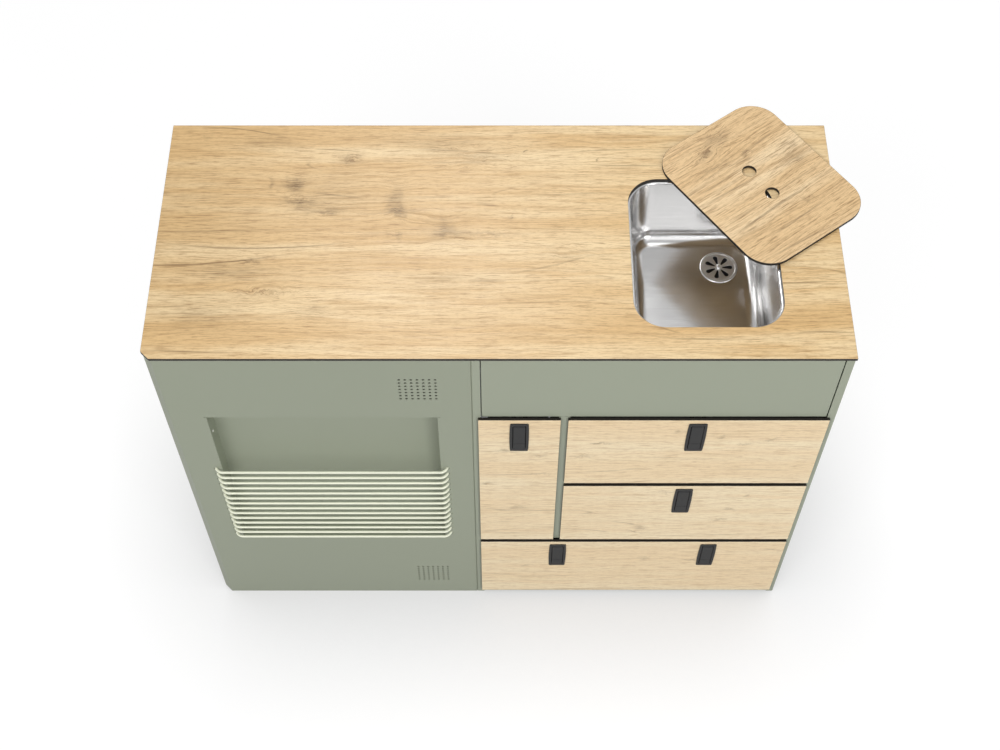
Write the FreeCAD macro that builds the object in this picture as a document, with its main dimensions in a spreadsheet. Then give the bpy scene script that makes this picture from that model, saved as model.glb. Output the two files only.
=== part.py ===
import FreeCAD, Part
import math
import os

import Sketcher
from FreeCAD import Placement, Rotation, Vector

# A van kitchen block: a folded steel module with a recessed rack on the left, a steel
# frame with four latched drawers on the right, one laminate worktop, an undermounted
# steel sink and its loose lid.
# +X is to the right, +Y to the back, +Z up; the origin is the middle of the base.

doc = FreeCAD.newDocument("VanKitchen")
sheet = doc.addObject("Spreadsheet::Sheet", "Sizes")

# Driving dimensions, in millimetres
sizes = {
    # whole unit
    "unitWidth": 1200,
    "unitHeight": 950,
    "carcassDepth": 500,
    "leftModuleWidth": 553,
    # worktop
    "boardThickness": 6,
    "worktopOverhang": 6,
    "cornerChamfer": 15,
    "cornerSoftening": 4,
    # folded steel
    "sheetGauge": 1.5,
    "panTurn": 15,
    "bendRadius": 2.5,
    "baseTurn": 20,
    "cutOverrun": 5,
    # recess in the left panel
    "openingFromLeft": 79,
    "openingWidth": 412,
    "recessDepth": 35,
    "recessRim": 7,
    "reliefWidth": 1.5,
    "reliefLength": 5,
    "matchTolerance": 0.01,
    # rack rods
    "rodRadius": 2.5,
    "rodPitch": 20.85,
    "rodAboveOpening": 20,
    "rodStandOff": 9,
    "rodBendRadius": 15,
    "rodReach": 13,
    "rodHoleClearance": 0.8,
    # vent holes
    "ventRadius": 2.5,
    "ventPitch": 10.4,
    "topVentFromTop": 101,
    "lowVentFromFloor": 92,
    # fronts, from the floor up; what the fascia leaves over or lacks is shared by the rows
    "fasciaHeight": 194,
    "frontReveal": 10,
    "frontsFoot": 18,
    "bottomFrontHeight": 238.5,
    "middleFrontHeight": 231.5,
    "topFrontHeight": 237,
    "rowGap": 11.5,
    "columnGap": 13,
    "narrowFrontWidth": 148,
    "fasciaGap": 2,
    "dividerThickness": 20,
    "dividerEndGap": 1,
    # rails
    "railSetBack": 0.5,
    "railDepth": 25,
    "railHeight": 16,
    "rearRailHeight": 40,
    "wallHoleSpacing": 900,
    "wallHoleRadius": 4.5,
    "floorHoleFromEnd": 100,
    "floorHoleFromFront": 60,
    "floorHoleRadius": 4.5,
    # drawer trays
    "trayGauge": 1.2,
    "trayDepth": 440,
    "trayLift": 9,
    "trayHeadroom": 20,
    "narrowWallHeight": 120,
    "shelfRise": 240,
    "shelfWallHeight": 60,
    "trayPostWidth": 20,
    # ball-bearing runners
    "runnerThickness": 12.7,
    "runnerGauge": 1.2,
    "runnerLength": 430,
    "runnerInset": 6,
    "runnerRise": 35,
    "fixedMemberHeight": 45,
    "midMemberHeight": 41,
    "drawerMemberHeight": 34,
    "memberClearance": 0.8,
    "midMemberInset": 3.2,
    "bracketHeight": 56,
    # paddle latches
    "latchDrop": 11.5,
    "bezelWidth": 33,
    "bezelHeight": 97,
    "bezelBow": 1.2,
    "bezelStand": 2,
    "housingWidth": 29,
    "housingHeight": 90,
    "housingDepth": 24,
    "housingWall": 1.5,
    "housingFitGap": 0.3,
    "paddleWidth": 22,
    "paddleHeight": 80,
    "paddleDrop": 6.6,
    "paddleThickness": 3,
    "paddleStand": 2.6,
    "paddleSideGap": 1,
    "paddleEndGap": 0.8,
    "paddleBarrelRadius": 5,
    "pinRadius": 1.5,
    "pinClearance": 0.05,
    "armWidth": 5,
    "armThickness": 3,
    "armLength": 14,
    "boltFromHinge": 10,
    "boltWidth": 12,
    "boltThickness": 5,
    "boltTail": 2,
    "boltGuideGap": 0.4,
    "boltTipGap": 0.5,
    "boltWindowHeight": 5,
    "boltWindowWidth": 7,
    "guideHeight": 8,
    "guideRise": 2,
    "latchSpread": 310,
    "keeperWidth": 34,
    "keeperDepth": 14,
    "keeperGauge": 2,
    # sink
    "sinkWidth": 258,
    "sinkLength": 320.5,
    "sinkCorner": 55,
    "sinkFromRight": 111.5,
    "sinkFromFront": 58,
    "sinkLedge": 5,
    "sinkFlange": 14,
    "sinkGauge": 1,
    "bowlDepth": 150,
    "bowlDraft": 6,
    "bowlFloorRadius": 28,
    "clipWidth": 20,
    "clipLap": 10,
    "clipFoot": 8,
    "clipScrewRadius": 4,
    "clipScrewHead": 2,
    # waste
    "drainFromSinkX": 80.5,
    "drainFromSinkY": 82.5,
    "drainRingRadius": 35,
    "drainRingHeight": 2,
    "strainerRadius": 29.7,
    "strainerGap": 0.3,
    "strainerThickness": 1.2,
    "strainerKnobRadius": 4,
    "strainerKnobHeight": 6,
    "slotInnerRadius": 9,
    "slotOuterRadius": 22,
    "slotTipRadius": 1.2,
    "slotEndRadius": 3.6,
    "cupRadius": 27.5,
    "cupWall": 3,
    "cupDepth": 48,
    "drainHoleGap": 0.3,
    "nutRadius": 38,
    "nutHeight": 10,
    "nutGripRadius": 4,
    "spigotRadius": 12.5,
    "spigotWall": 2.5,
    "spigotLength": 45,
    "spigotLift": 3,
    "shoulderRadius": 15,
    "shoulderLength": 4,
    # loose lid
    "lidFitGap": 1.75,
    "lidEndGap": 3,
    "lidShiftX": 110.3,
    "lidShiftY": 148.95,
    "fingerHoleRadius": 12.5,
    "fingerHoleSpacing": 62,
    # small fixings
    "rivetRadius": 3,
    "rivetHead": 1.2,
    "rivetDepth": 13,
}

# Counts and angles. Small repeated rounds are drawn with few sides.
rod_count = 14
rod_sides = 6
vent_count = 7
vent_sides = 6
row_count = 3
rivet_sides = 8
screw_sides = 6
pin_hole_sides = 8
slot_count = 7
slot_end_chords = 5
slot_tip_chords = 2
cup_sides = 16
grip_count = 8
grip_sides = 6
corner_chords = 6
floor_chords = 4
lid_turn = 36.2
rivet_height_shares = (0.12, 0.483, 0.858)
rivet_width_shares = (0.061, 0.816)
clip_place_shares = (-0.27, 0.27)
mitre_share = math.tan(math.radians(22.5))
least_cut_share = 1e-6

for row, (name, value) in enumerate(sizes.items(), start=1):
    sheet.set(f"A{row}", name)
    sheet.set(f"B{row}", str(value))
    sheet.setAlias(f"B{row}", name)
doc.recompute()


class Size:
    """A length of the sheet: its number now, and the expression that gives it."""

    def __init__(self, number, text):
        self.number = number
        self.text = text

    def __add__(self, other):
        return Size(self.number + number_of(other), f"({self.text} + {text_of(other)})")

    def __radd__(self, other):
        return self + other

    def __sub__(self, other):
        return Size(self.number - number_of(other), f"({self.text} - {text_of(other)})")

    def __rsub__(self, other):
        return Size(number_of(other) - self.number, f"({text_of(other)} - {self.text})")

    def __mul__(self, other):
        return Size(self.number * number_of(other), f"({self.text} * {text_of(other)})")

    def __rmul__(self, other):
        return self * other

    def __truediv__(self, other):
        return Size(self.number / number_of(other), f"({self.text} / {text_of(other)})")

    def __neg__(self):
        return Size(-self.number, f"(-{self.text})")


def number_of(length):
    return length.number if isinstance(length, Size) else float(length)


def text_of(length):
    return length.text if isinstance(length, Size) else repr(float(length))


class Sheet:
    """The driving dimensions by name, read back from the sheet."""

    def __init__(self):
        for name in sizes:
            setattr(self, name, Size(float(getattr(sheet, name)), f"Sizes.{name}"))


s = Sheet()


# Helpers: objects whose sizes follow the sheet

def bind(thing, place, length):
    thing.setExpression(place, text_of(length))


def ordered(first, second):
    return (first, second) if number_of(first) <= number_of(second) else (second, first)


def box(name, x, y, z):
    """A block between two planes in each direction."""
    block = doc.addObject("Part::Box", name)
    for side, axis, ends in zip(("Length", "Width", "Height"), "xyz", (x, y, z)):
        low, high = ordered(*ends)
        bind(block, side, high - low)
        bind(block, f"Placement.Base.{axis}", low)
    return block


turns = {
    "x": Rotation(Vector(0, 1, 0), 90),
    "y": Rotation(Vector(1, 0, 0), -90),
    "z": Rotation(),
}


def cylinder(name, axis, start, centre, radius, length):
    """A round bar that starts at the given place along its axis."""
    bar = doc.addObject("Part::Cylinder", name)
    bar.Placement = Placement(Vector(0, 0, 0), turns[axis])
    places = dict(zip([way for way in "xyz" if way != axis], centre))
    places[axis] = start
    for way, place in places.items():
        bind(bar, f"Placement.Base.{way}", place)
    bind(bar, "Radius", radius)
    bind(bar, "Height", length)
    return bar


def prism(name, axis, start, centre, radius, length, sides):
    """A bar with flat sides, whose corners lie on the given radius."""
    bar = doc.addObject("Part::Prism", name)
    bar.Placement = Placement(Vector(0, 0, 0), turns[axis])
    bar.Polygon = sides
    places = dict(zip([way for way in "xyz" if way != axis], centre))
    places[axis] = start
    for way, place in places.items():
        bind(bar, f"Placement.Base.{way}", place)
    bind(bar, "Circumradius", radius)
    bind(bar, "Height", length)
    return bar


def round_hole_radius(radius, sides):
    """The corner radius of a flat-sided hole that a round bar of the given radius fits."""
    return radius / math.cos(math.pi / sides)


def ring_points(x, y, radius, sides):
    """The corners of a regular outline round a centre."""
    turn = math.tau / sides
    return [(x + radius * math.cos(turn * i), y + radius * math.sin(turn * i)) for i in range(sides)]


def fuse(name, pieces):
    joined = doc.addObject("Part::MultiFuse", name)
    joined.Shapes = pieces
    return joined


def cut(name, base, tools):
    result = doc.addObject("Part::Cut", name)
    result.Base = base
    result.Tool = tools[0] if len(tools) == 1 else fuse(name + "Cuts", tools)
    return result


def group(name, pieces):
    """Separate solids that make one sub-part."""
    together = doc.addObject("Part::Compound", name)
    together.Links = pieces
    return together


def new_body(name):
    body = doc.addObject("PartDesign::Body", name)
    body.Label = name
    return body


def start_sketch(body, name, role, offset):
    plane = next(f for f in body.Origin.OriginFeatures if f.Role == role)
    sketch = body.newObject("Sketcher::SketchObject", name)
    sketch.AttachmentSupport = [(plane, "")]
    sketch.MapMode = "FlatFace"
    bind(sketch, "AttachmentOffset.Base.z", offset)
    return sketch


def hold_point(sketch, line, end, x=None, y=None):
    """Holds a point of a line at a distance from the sketch's origin."""
    for kind, length in (("DistanceX", x), ("DistanceY", y)):
        if length is not None:
            number = number_of(length)
            index = sketch.addConstraint(Sketcher.Constraint(kind, -1, 1, line, end, number))
            sketch.setExpression(f"Constraints[{index}]", text_of(length))


def draw_polygon(sketch, points):
    first = sketch.GeometryCount
    corners = [Vector(number_of(x), number_of(y), 0) for x, y in points]
    count = len(corners)
    for i, corner in enumerate(corners):
        sketch.addGeometry(Part.LineSegment(corner, corners[(i + 1) % count]), False)
    for i in range(count):
        following = first + (i + 1) % count
        sketch.addConstraint(Sketcher.Constraint("Coincident", first + i, 2, following, 1))
    for i, (x, y) in enumerate(points):
        hold_point(sketch, first + i, 1, x, y)


def draw_circle(sketch, x, y, radius):
    centre = Vector(number_of(x), number_of(y), 0)
    circle = sketch.GeometryCount
    sketch.addGeometry(Part.Circle(centre, Vector(0, 0, 1), number_of(radius)), False)
    hold_point(sketch, circle, 3, x, y)
    index = sketch.addConstraint(Sketcher.Constraint("Radius", circle, number_of(radius)))
    sketch.setExpression(f"Constraints[{index}]", text_of(radius))


def draw_rounded(sketch, x, y, radius):
    """A rectangle between two places each way, with rounded corners."""
    first = sketch.GeometryCount
    (x0, x1), (y0, y1) = [[number_of(end) for end in ends] for ends in (x, y)]
    r = number_of(radius)
    corners = ((x1 - r, y0 + r), (x1 - r, y1 - r), (x0 + r, y1 - r), (x0 + r, y0 + r))
    lines = (
        ((x0 + r, y0), (x1 - r, y0)),
        ((x1, y0 + r), (x1, y1 - r)),
        ((x1 - r, y1), (x0 + r, y1)),
        ((x0, y1 - r), (x0, y0 + r)),
    )
    quarter = math.pi / 2
    for i, (line, corner) in enumerate(zip(lines, corners)):
        start, end = [Vector(*point, 0) for point in line]
        circle = Part.Circle(Vector(*corner, 0), Vector(0, 0, 1), r)
        sketch.addGeometry(Part.LineSegment(start, end), False)
        sketch.addGeometry(Part.ArcOfCircle(circle, (i - 1) * quarter, i * quarter), False)
    for i in range(8):
        following = first + (i + 1) % 8
        sketch.addConstraint(Sketcher.Constraint("Tangent", first + i, 2, following, 1))
    for i, kind in ((0, "Horizontal"), (4, "Horizontal"), (2, "Vertical"), (6, "Vertical")):
        sketch.addConstraint(Sketcher.Constraint(kind, first + i))
    for i in (3, 5, 7):
        sketch.addConstraint(Sketcher.Constraint("Equal", first + 1, first + i))
    index = sketch.addConstraint(Sketcher.Constraint("Radius", first + 1, r))
    sketch.setExpression(f"Constraints[{index}]", text_of(radius))
    hold_point(sketch, first, 1, y=y[0])
    hold_point(sketch, first + 4, 1, y=y[1])
    hold_point(sketch, first + 2, 1, x=x[1])
    hold_point(sketch, first + 6, 1, x=x[0])


def pad(body, sketch, length, reverse=False):
    feature = body.newObject("PartDesign::Pad", sketch.Name + "Pad")
    feature.Profile = sketch
    feature.Reversed = reverse
    bind(feature, "Length", length)
    doc.recompute()
    return feature


def pocket(body, sketch, length, reverse=False):
    """A cut that has to take something away."""
    before = body.Tip.Shape.Volume
    feature = body.newObject("PartDesign::Pocket", sketch.Name + "Pocket")
    feature.Profile = sketch
    feature.Reversed = reverse
    bind(feature, "Length", length)
    doc.recompute()
    if feature.Shape.Volume >= before * (1 - least_cut_share):
        raise RuntimeError(f"{feature.Name} cuts nothing")
    return feature


def repeat(body, feature, sketch, ways):
    """The feature again along the sketch's axes: (axis, length, count) for each."""
    pattern = body.newObject("PartDesign::LinearPattern", feature.Name + "Pattern")
    pattern.Originals = [feature]
    for suffix, (axis, length, count) in zip(("", "2"), ways):
        setattr(pattern, "Direction" + suffix, (sketch, [axis]))
        setattr(pattern, "Occurrences" + suffix, count)
        bind(pattern, "Length" + suffix, length)
    body.Tip = pattern
    doc.recompute()
    return pattern


def round_edges(body, name, radius, x=None, y=None, z=None):
    """Rounds the straight edges that lie on the given planes all along."""
    base = body.Tip
    wanted = [(low, high, number_of(place)) for low, high, place in
              (("XMin", "XMax", x), ("YMin", "YMax", y), ("ZMin", "ZMax", z)) if place is not None]
    names = []
    for i, edge in enumerate(base.Shape.Edges, start=1):
        bounds = edge.BoundBox
        misses = [abs(getattr(bounds, end) - place) for *ends, place in wanted for end in ends]
        if max(misses) < s.matchTolerance.number:
            names.append(f"Edge{i}")
    rounding = body.newObject("PartDesign::Fillet", name)
    rounding.Base = (base, names)
    bind(rounding, "Radius", radius)
    doc.recompute()
    return rounding


# Places that several pieces share

unit_left = -s.unitWidth / 2
unit_right = s.unitWidth / 2
carcass_front = -s.carcassDepth / 2
carcass_back = s.carcassDepth / 2
carcass_top = s.unitHeight - s.boardThickness
seam = unit_left + s.leftModuleWidth
inside_front = carcass_front + s.sheetGauge
inside_back = carcass_back - s.sheetGauge
inner_web = seam + s.sheetGauge
right_web = unit_right - s.sheetGauge
bay_left = seam + s.panTurn
bay_right = unit_right - s.panTurn

fronts_left = seam + s.frontReveal
fronts_right = unit_right - s.frontReveal
fronts_face = carcass_front - s.boardThickness
fascia_foot = carcass_top - s.fasciaHeight
fronts_top = fascia_foot - s.fasciaGap
rows_height = fronts_top - s.frontsFoot - s.rowGap * (row_count - 1)
spare = (rows_height - s.bottomFrontHeight - s.middleFrontHeight - s.topFrontHeight) / row_count
bottom_top = s.frontsFoot + s.bottomFrontHeight + spare
middle_foot = bottom_top + s.rowGap
middle_top = middle_foot + s.middleFrontHeight + spare
top_foot = middle_top + s.rowGap
narrow_right = fronts_left + s.narrowFrontWidth
wide_left = narrow_right + s.columnGap
divider_middle = narrow_right + s.columnGap / 2
divider_left = divider_middle - s.dividerThickness / 2
divider_right = divider_middle + s.dividerThickness / 2

opening_left = unit_left + s.openingFromLeft
opening_right = opening_left + s.openingWidth
opening_foot = middle_foot
opening_top = fronts_top

rail_front = inside_front + s.railSetBack
rail_back = rail_front + s.railDepth
rear_front = carcass_back - s.panTurn

sink_right = unit_right - s.sinkFromRight
sink_front = carcass_front + s.sinkFromFront
sink_x = sink_right - s.sinkWidth / 2
sink_y = sink_front + s.sinkLength / 2
bowl_floor = carcass_top - s.bowlDepth
drain_x = sink_right - s.drainFromSinkX
drain_y = sink_front + s.sinkLength - s.drainFromSinkY

# Latch bolts, which rise behind the fronts into slots above them
hinge_back = s.paddleBarrelRadius - s.paddleStand
bolt_front = fronts_face + hinge_back + s.boltFromHinge

# Each drawer: where its front, its bay and its latches are
drawers = {
    "narrow": {
        "front": (fronts_left, narrow_right), "foot": middle_foot, "top": fronts_top,
        "bay": (bay_left, divider_left), "latches": {"narrow": (fronts_left + narrow_right) / 2},
    },
    "top": {
        "front": (wide_left, fronts_right), "foot": top_foot, "top": fronts_top,
        "bay": (divider_right, bay_right), "latches": {"top": (wide_left + fronts_right) / 2},
    },
    "middle": {
        "front": (wide_left, fronts_right), "foot": middle_foot, "top": middle_top,
        "bay": (divider_right, bay_right), "latches": {"middle": (wide_left + fronts_right) / 2},
    },
    "bottom": {
        "front": (fronts_left, fronts_right), "foot": s.frontsFoot, "top": bottom_top,
        "bay": (bay_left, bay_right),
        "latches": {
            "bottom_left": (fronts_left + fronts_right) / 2 - s.latchSpread / 2,
            "bottom_right": (fronts_left + fronts_right) / 2 + s.latchSpread / 2,
        },
    },
}


# Worktop: a thin compact board with one cut corner and the sink's cut-out

def worktop_points(left, right, front, back, chamfer):
    return [
        (left + chamfer, front),
        (right, front),
        (right, back),
        (left, back),
        (left, front + chamfer),
    ]


def make_worktop():
    body = new_body("worktop")
    front = carcass_front - s.worktopOverhang
    back = carcass_back + s.worktopOverhang
    sketch = start_sketch(body, "worktopOutline", "XY_Plane", carcass_top)
    draw_polygon(sketch, worktop_points(unit_left, unit_right, front, back, s.cornerChamfer))
    pad(body, sketch, s.boardThickness)
    round_edges(body, "worktopFrontSoftening", s.cornerSoftening,
                x=unit_left + s.cornerChamfer, y=front)
    round_edges(body, "worktopSideSoftening", s.cornerSoftening,
                x=unit_left, y=front + s.cornerChamfer)
    sketch = start_sketch(body, "sinkCutOut", "XY_Plane", s.unitHeight)
    draw_rounded(sketch, (sink_x - s.sinkWidth / 2, sink_x + s.sinkWidth / 2),
                 (sink_y - s.sinkLength / 2, sink_y + s.sinkLength / 2), s.sinkCorner)
    pocket(body, sketch, s.boardThickness)
    return body


# Left module: one folded cover, its base, the recess tray and the rack rods

def cover_corner(name, inset):
    """A corner of the cover's path, moved in from the outside by the given distance."""
    mitre = inset * mitre_share
    return {
        "seamEnd": (seam - inset, carcass_front + s.panTurn),
        "seamCorner": (seam - inset, carcass_front + inset),
        "chamferFront": (unit_left + s.cornerChamfer + mitre, carcass_front + inset),
        "chamferSide": (unit_left + inset, carcass_front + s.cornerChamfer + mitre),
        "backCorner": (unit_left + inset, carcass_back - inset),
        "backEnd": (unit_left + s.panTurn, carcass_back - inset),
    }[name]


def make_left_cover():
    body = new_body("left_cover")
    path = ("seamEnd", "seamCorner", "chamferFront", "chamferSide", "backCorner", "backEnd")
    outside = [cover_corner(name, 0) for name in path]
    inside = [cover_corner(name, s.sheetGauge) for name in reversed(path)]
    sketch = start_sketch(body, "coverProfile", "XY_Plane", 0)
    draw_polygon(sketch, outside + inside)
    pad(body, sketch, carcass_top)

    # turned-in top edge that carries the worktop
    path = ("seamCorner", "chamferFront", "chamferSide", "backCorner")
    outside = [cover_corner(name, s.sheetGauge) for name in path]
    inside = [cover_corner(name, s.panTurn) for name in reversed(path)]
    inside[0] = (inside[0][0], outside[-1][1])
    inside[-1] = (outside[0][0], inside[-1][1])
    sketch = start_sketch(body, "coverTopEdge", "XY_Plane", carcass_top)
    draw_polygon(sketch, outside + inside)
    pad(body, sketch, s.sheetGauge, reverse=True)

    # opening of the recess, with a thin relief slot at each corner
    sketch = start_sketch(body, "recessOpening", "XZ_Plane", -carcass_front)
    left, right = opening_left, opening_right
    low, high = opening_foot, opening_top
    draw_polygon(sketch, [(left, low), (right, low), (right, high), (left, high)])
    pocket(body, sketch, s.sheetGauge)
    sketch = start_sketch(body, "recessReliefs", "XZ_Plane", -carcass_front)
    for foot in (low, high - s.reliefWidth):
        for start in (left - s.reliefLength, right):
            draw_polygon(sketch, [
                (start, foot), (start + s.reliefLength, foot),
                (start + s.reliefLength, foot + s.reliefWidth), (start, foot + s.reliefWidth),
            ])
    pocket(body, sketch, s.sheetGauge)

    # holes that the rods pass through
    sketch = start_sketch(body, "rodHoles", "XZ_Plane", -carcass_front)
    for x in (left - s.rodReach, right + s.rodReach):
        draw_polygon(sketch, ring_points(x, low + s.rodAboveOpening,
                                         s.rodRadius + s.rodHoleClearance, rod_sides))
    feature = pocket(body, sketch, s.sheetGauge)
    repeat(body, feature, sketch, [("V_Axis", s.rodPitch * (rod_count - 1), rod_count)])

    # two square grids of vent holes, in line with the opening's right edge
    span = s.ventPitch * (vent_count - 1)
    for name, middle in (("topVents", s.unitHeight - s.topVentFromTop - s.boardThickness),
                         ("lowVents", s.lowVentFromFloor)):
        sketch = start_sketch(body, name, "XZ_Plane", -carcass_front)
        draw_polygon(sketch, ring_points(right - span, middle - span / 2, s.ventRadius, vent_sides))
        feature = pocket(body, sketch, s.sheetGauge)
        repeat(body, feature, sketch,
               [("H_Axis", span, vent_count), ("V_Axis", span, vent_count)])
    return body


def make_left_base():
    body = new_body("left_base")
    path = ("seamCorner", "chamferFront", "chamferSide", "backCorner")

    def outline(inset):
        points = [cover_corner(name, inset) for name in path]
        return points + [(seam - inset, carcass_back - inset)]

    sketch = start_sketch(body, "leftBaseOutline", "XY_Plane", 0)
    draw_polygon(sketch, outline(s.sheetGauge))
    pad(body, sketch, s.baseTurn)
    sketch = start_sketch(body, "leftBaseInside", "XY_Plane", s.baseTurn)
    draw_polygon(sketch, outline(s.sheetGauge * 2))
    pocket(body, sketch, s.baseTurn - s.sheetGauge)
    add_floor_holes(body, "leftFloorHoles", unit_left + s.floorHoleFromEnd)
    return body


def add_floor_holes(body, name, x):
    sketch = start_sketch(body, name, "XY_Plane", s.sheetGauge)
    for y in (carcass_front + s.floorHoleFromFront, carcass_back - s.floorHoleFromFront):
        draw_circle(sketch, x, y, s.floorHoleRadius)
    pocket(body, sketch, s.sheetGauge)


def make_recess_tray():
    turn = s.sheetGauge + s.recessRim
    back = carcass_front + s.recessDepth
    rim = box("trayRim", (opening_left - turn, opening_right + turn),
              (inside_front, inside_front + s.sheetGauge), (opening_foot - turn, opening_top + turn))
    tub = box("trayTub", (opening_left - s.sheetGauge, opening_right + s.sheetGauge),
              (inside_front, back + s.sheetGauge),
              (opening_foot - s.sheetGauge, opening_top + s.sheetGauge))
    space = box("traySpace", (opening_left, opening_right), (inside_front - s.cutOverrun, back),
                (opening_foot, opening_top))
    return cut("recess_tray", fuse("traySheet", [rim, tub]), [space])


def make_rod():
    """A bar across the recess; each end bends back through its hole in the cover."""
    body = new_body("rod")
    line = carcass_front - s.rodStandOff
    centre_y = line + s.rodBendRadius
    tails = (opening_left - s.rodReach, opening_right + s.rodReach)
    centres = (tails[0] + s.rodBendRadius, tails[1] - s.rodBendRadius)
    section = start_sketch(body, "rodSection", "XZ_Plane", -centre_y)
    draw_polygon(section, ring_points(tails[0], 0, s.rodRadius, rod_sides))

    path = start_sketch(body, "rodPath", "XY_Plane", 0)
    middles = [Vector(number_of(x), number_of(centre_y), 0) for x in centres]
    radius = s.rodBendRadius.number
    circles = [Part.Circle(middle, Vector(0, 0, 1), radius) for middle in middles]
    half = math.pi
    path.addGeometry(Part.ArcOfCircle(circles[0], half, half * 1.5), False)
    path.addGeometry(Part.LineSegment(middles[0] - Vector(0, radius, 0),
                                      middles[1] - Vector(0, radius, 0)), False)
    path.addGeometry(Part.ArcOfCircle(circles[1], half * 1.5, half * 2), False)
    for i in (0, 1):
        path.addConstraint(Sketcher.Constraint("Tangent", i, 2, i + 1, 1))
    for arc, tail in ((0, 1), (2, 2)):
        path.addConstraint(Sketcher.Constraint("Horizontal", arc, tail, arc, 3))
        hold_point(path, arc, 3, centres[arc // 2], centre_y)
    index = path.addConstraint(Sketcher.Constraint("Radius", 0, radius))
    path.setExpression(f"Constraints[{index}]", text_of(s.rodBendRadius))

    pipe = body.newObject("PartDesign::AdditivePipe", "rodPipe")
    pipe.Profile = section
    pipe.Spine = (path, ["Edge1", "Edge2", "Edge3"])
    doc.recompute()
    return body


def make_rack_rods():
    rod = make_rod()
    rods = []
    for i in range(rod_count):
        placed = group(f"rod{i}", [rod])
        bind(placed, "Placement.Base.z", opening_foot + s.rodAboveOpening + s.rodPitch * i)
        rods.append(placed)
    return group("rack_rods", rods)


def make_tray_rivets():
    rivets = []
    y = carcass_front + s.rivetDepth
    height = opening_top - opening_foot
    size = (s.rivetRadius, s.rivetHead, rivet_sides)
    for i, share in enumerate(rivet_height_shares):
        place = (y, opening_foot + height * share)
        rivets.append(prism(f"leftRivet{i}", "x", opening_left, place, *size))
        rivets.append(prism(f"rightRivet{i}", "x", opening_right - s.rivetHead, place, *size))
    for i, share in enumerate(rivet_width_shares):
        place = (opening_left + s.openingWidth * share, y)
        rivets.append(prism(f"lowRivet{i}", "z", opening_foot, place, *size))
        rivets.append(prism(f"highRivet{i}", "z", opening_top - s.rivetHead, place, *size))
    return group("tray_rivets", rivets)


# Right module: side pans, base, fascia, rails and divider

def make_side_pan(name, outside, turn):
    """A side sheet with its front, back and top edges folded in."""
    body = new_body(name)
    inside = outside + s.sheetGauge * turn
    edge = outside + s.panTurn * turn
    sketch = start_sketch(body, name + "Profile", "XY_Plane", 0)
    draw_polygon(sketch, [
        (edge, carcass_front), (outside, carcass_front), (outside, carcass_back),
        (edge, carcass_back), (edge, inside_back), (inside, inside_back),
        (inside, inside_front), (edge, inside_front),
    ])
    pad(body, sketch, carcass_top)
    round_edges(body, name + "Bend", s.bendRadius, x=outside, y=carcass_front)
    sketch = start_sketch(body, name + "TopEdge", "XY_Plane", carcass_top)
    draw_polygon(sketch, [
        (inside, inside_front), (edge, inside_front), (edge, inside_back), (inside, inside_back),
    ])
    pad(body, sketch, s.sheetGauge, reverse=True)
    return body


def make_right_base():
    body = new_body("right_base")
    left, right = inner_web, right_web
    levels = (("rightBaseOutline", 0, 0), ("rightBaseInside", s.sheetGauge, s.baseTurn))
    for name, inset, level in levels:
        sketch = start_sketch(body, name, "XY_Plane", level)
        x = (left + inset, right - inset)
        y = (inside_front + inset, inside_back - inset)
        draw_polygon(sketch, [(x[0], y[0]), (x[1], y[0]), (x[1], y[1]), (x[0], y[1])])
        if level == 0:
            pad(body, sketch, s.baseTurn)
        else:
            pocket(body, sketch, s.baseTurn - s.sheetGauge)
    add_floor_holes(body, "rightFloorHoles", unit_right - s.floorHoleFromEnd)
    return body


def latch_slot(name, x, foot):
    """The slot in a turned-in edge that a latch bolt rises into."""
    room = s.boltGuideGap * 2
    wide = s.boltWidth / 2 + room
    return box(name, (x - wide, x + wide), (bolt_front - room, bolt_front + s.boltThickness + room),
               (foot - s.cutOverrun, foot + s.cutOverrun))


def fascia_reliefs(name):
    """Round notches at the lower corners, where the web meets the flanges."""
    return [
        cylinder(f"{name}Relief{side}", "y", carcass_front - s.cutOverrun,
                 (x, fascia_foot + s.sheetGauge), s.sheetGauge, s.railDepth)
        for side, x in (("Left", bay_left), ("Right", bay_right))
    ]


def make_fascia():
    """The fixed green panel above the drawers. Its flanges are a sub-part of their own."""
    web = box("fasciaWeb", (bay_left, bay_right), (carcass_front, inside_front),
              (fascia_foot, carcass_top))
    return cut("fascia", web, fascia_reliefs("fasciaWeb"))


def make_fascia_flanges():
    """Strips behind the four edges of the fascia. The lower one takes two latch bolts."""
    g = s.sheetGauge
    top = box("fasciaTop", (bay_left, bay_right), (inside_front, carcass_front + s.panTurn),
              (carcass_top - g, carcass_top))
    strip = box("fasciaStrip", (bay_left, bay_right), (inside_front, inside_front + s.railDepth),
                (fascia_foot, fascia_foot + g))
    slots = fascia_reliefs("fasciaStrip")
    for row in ("narrow", "top"):
        for name, x in drawers[row]["latches"].items():
            slots.append(latch_slot(name + "FasciaSlot", x, fascia_foot))
    flanges = [top, cut("fasciaFoot", strip, slots)]
    for name, end, way in (("Left", bay_left, 1), ("Right", bay_right, -1)):
        tab = box("fasciaTab" + name, (end, end + g * way),
                  (inside_front, carcass_front + s.panTurn),
                  (fascia_foot + g, carcass_top - g))
        flanges.append(cut("fasciaSide" + name, tab, fascia_reliefs("fasciaTab" + name)))
    return group("fascia_flanges", flanges)


def make_front_rail(name, left, right, foot, rows):
    """A channel across the front, open to the back, behind the gap between two rows."""
    g = s.sheetGauge
    outer = box(name + "Block", (left, right), (rail_front, rail_back), (foot, foot + s.railHeight))
    inner = box(name + "Space", (left - s.cutOverrun, right + s.cutOverrun),
                (rail_front + g, rail_back + s.cutOverrun), (foot + g, foot + s.railHeight - g))
    slots = [inner]
    for row in rows:
        for latch, x in drawers[row]["latches"].items():
            slots.append(latch_slot(latch + "RailSlot", x, foot))
    return cut(name, outer, slots)


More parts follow.
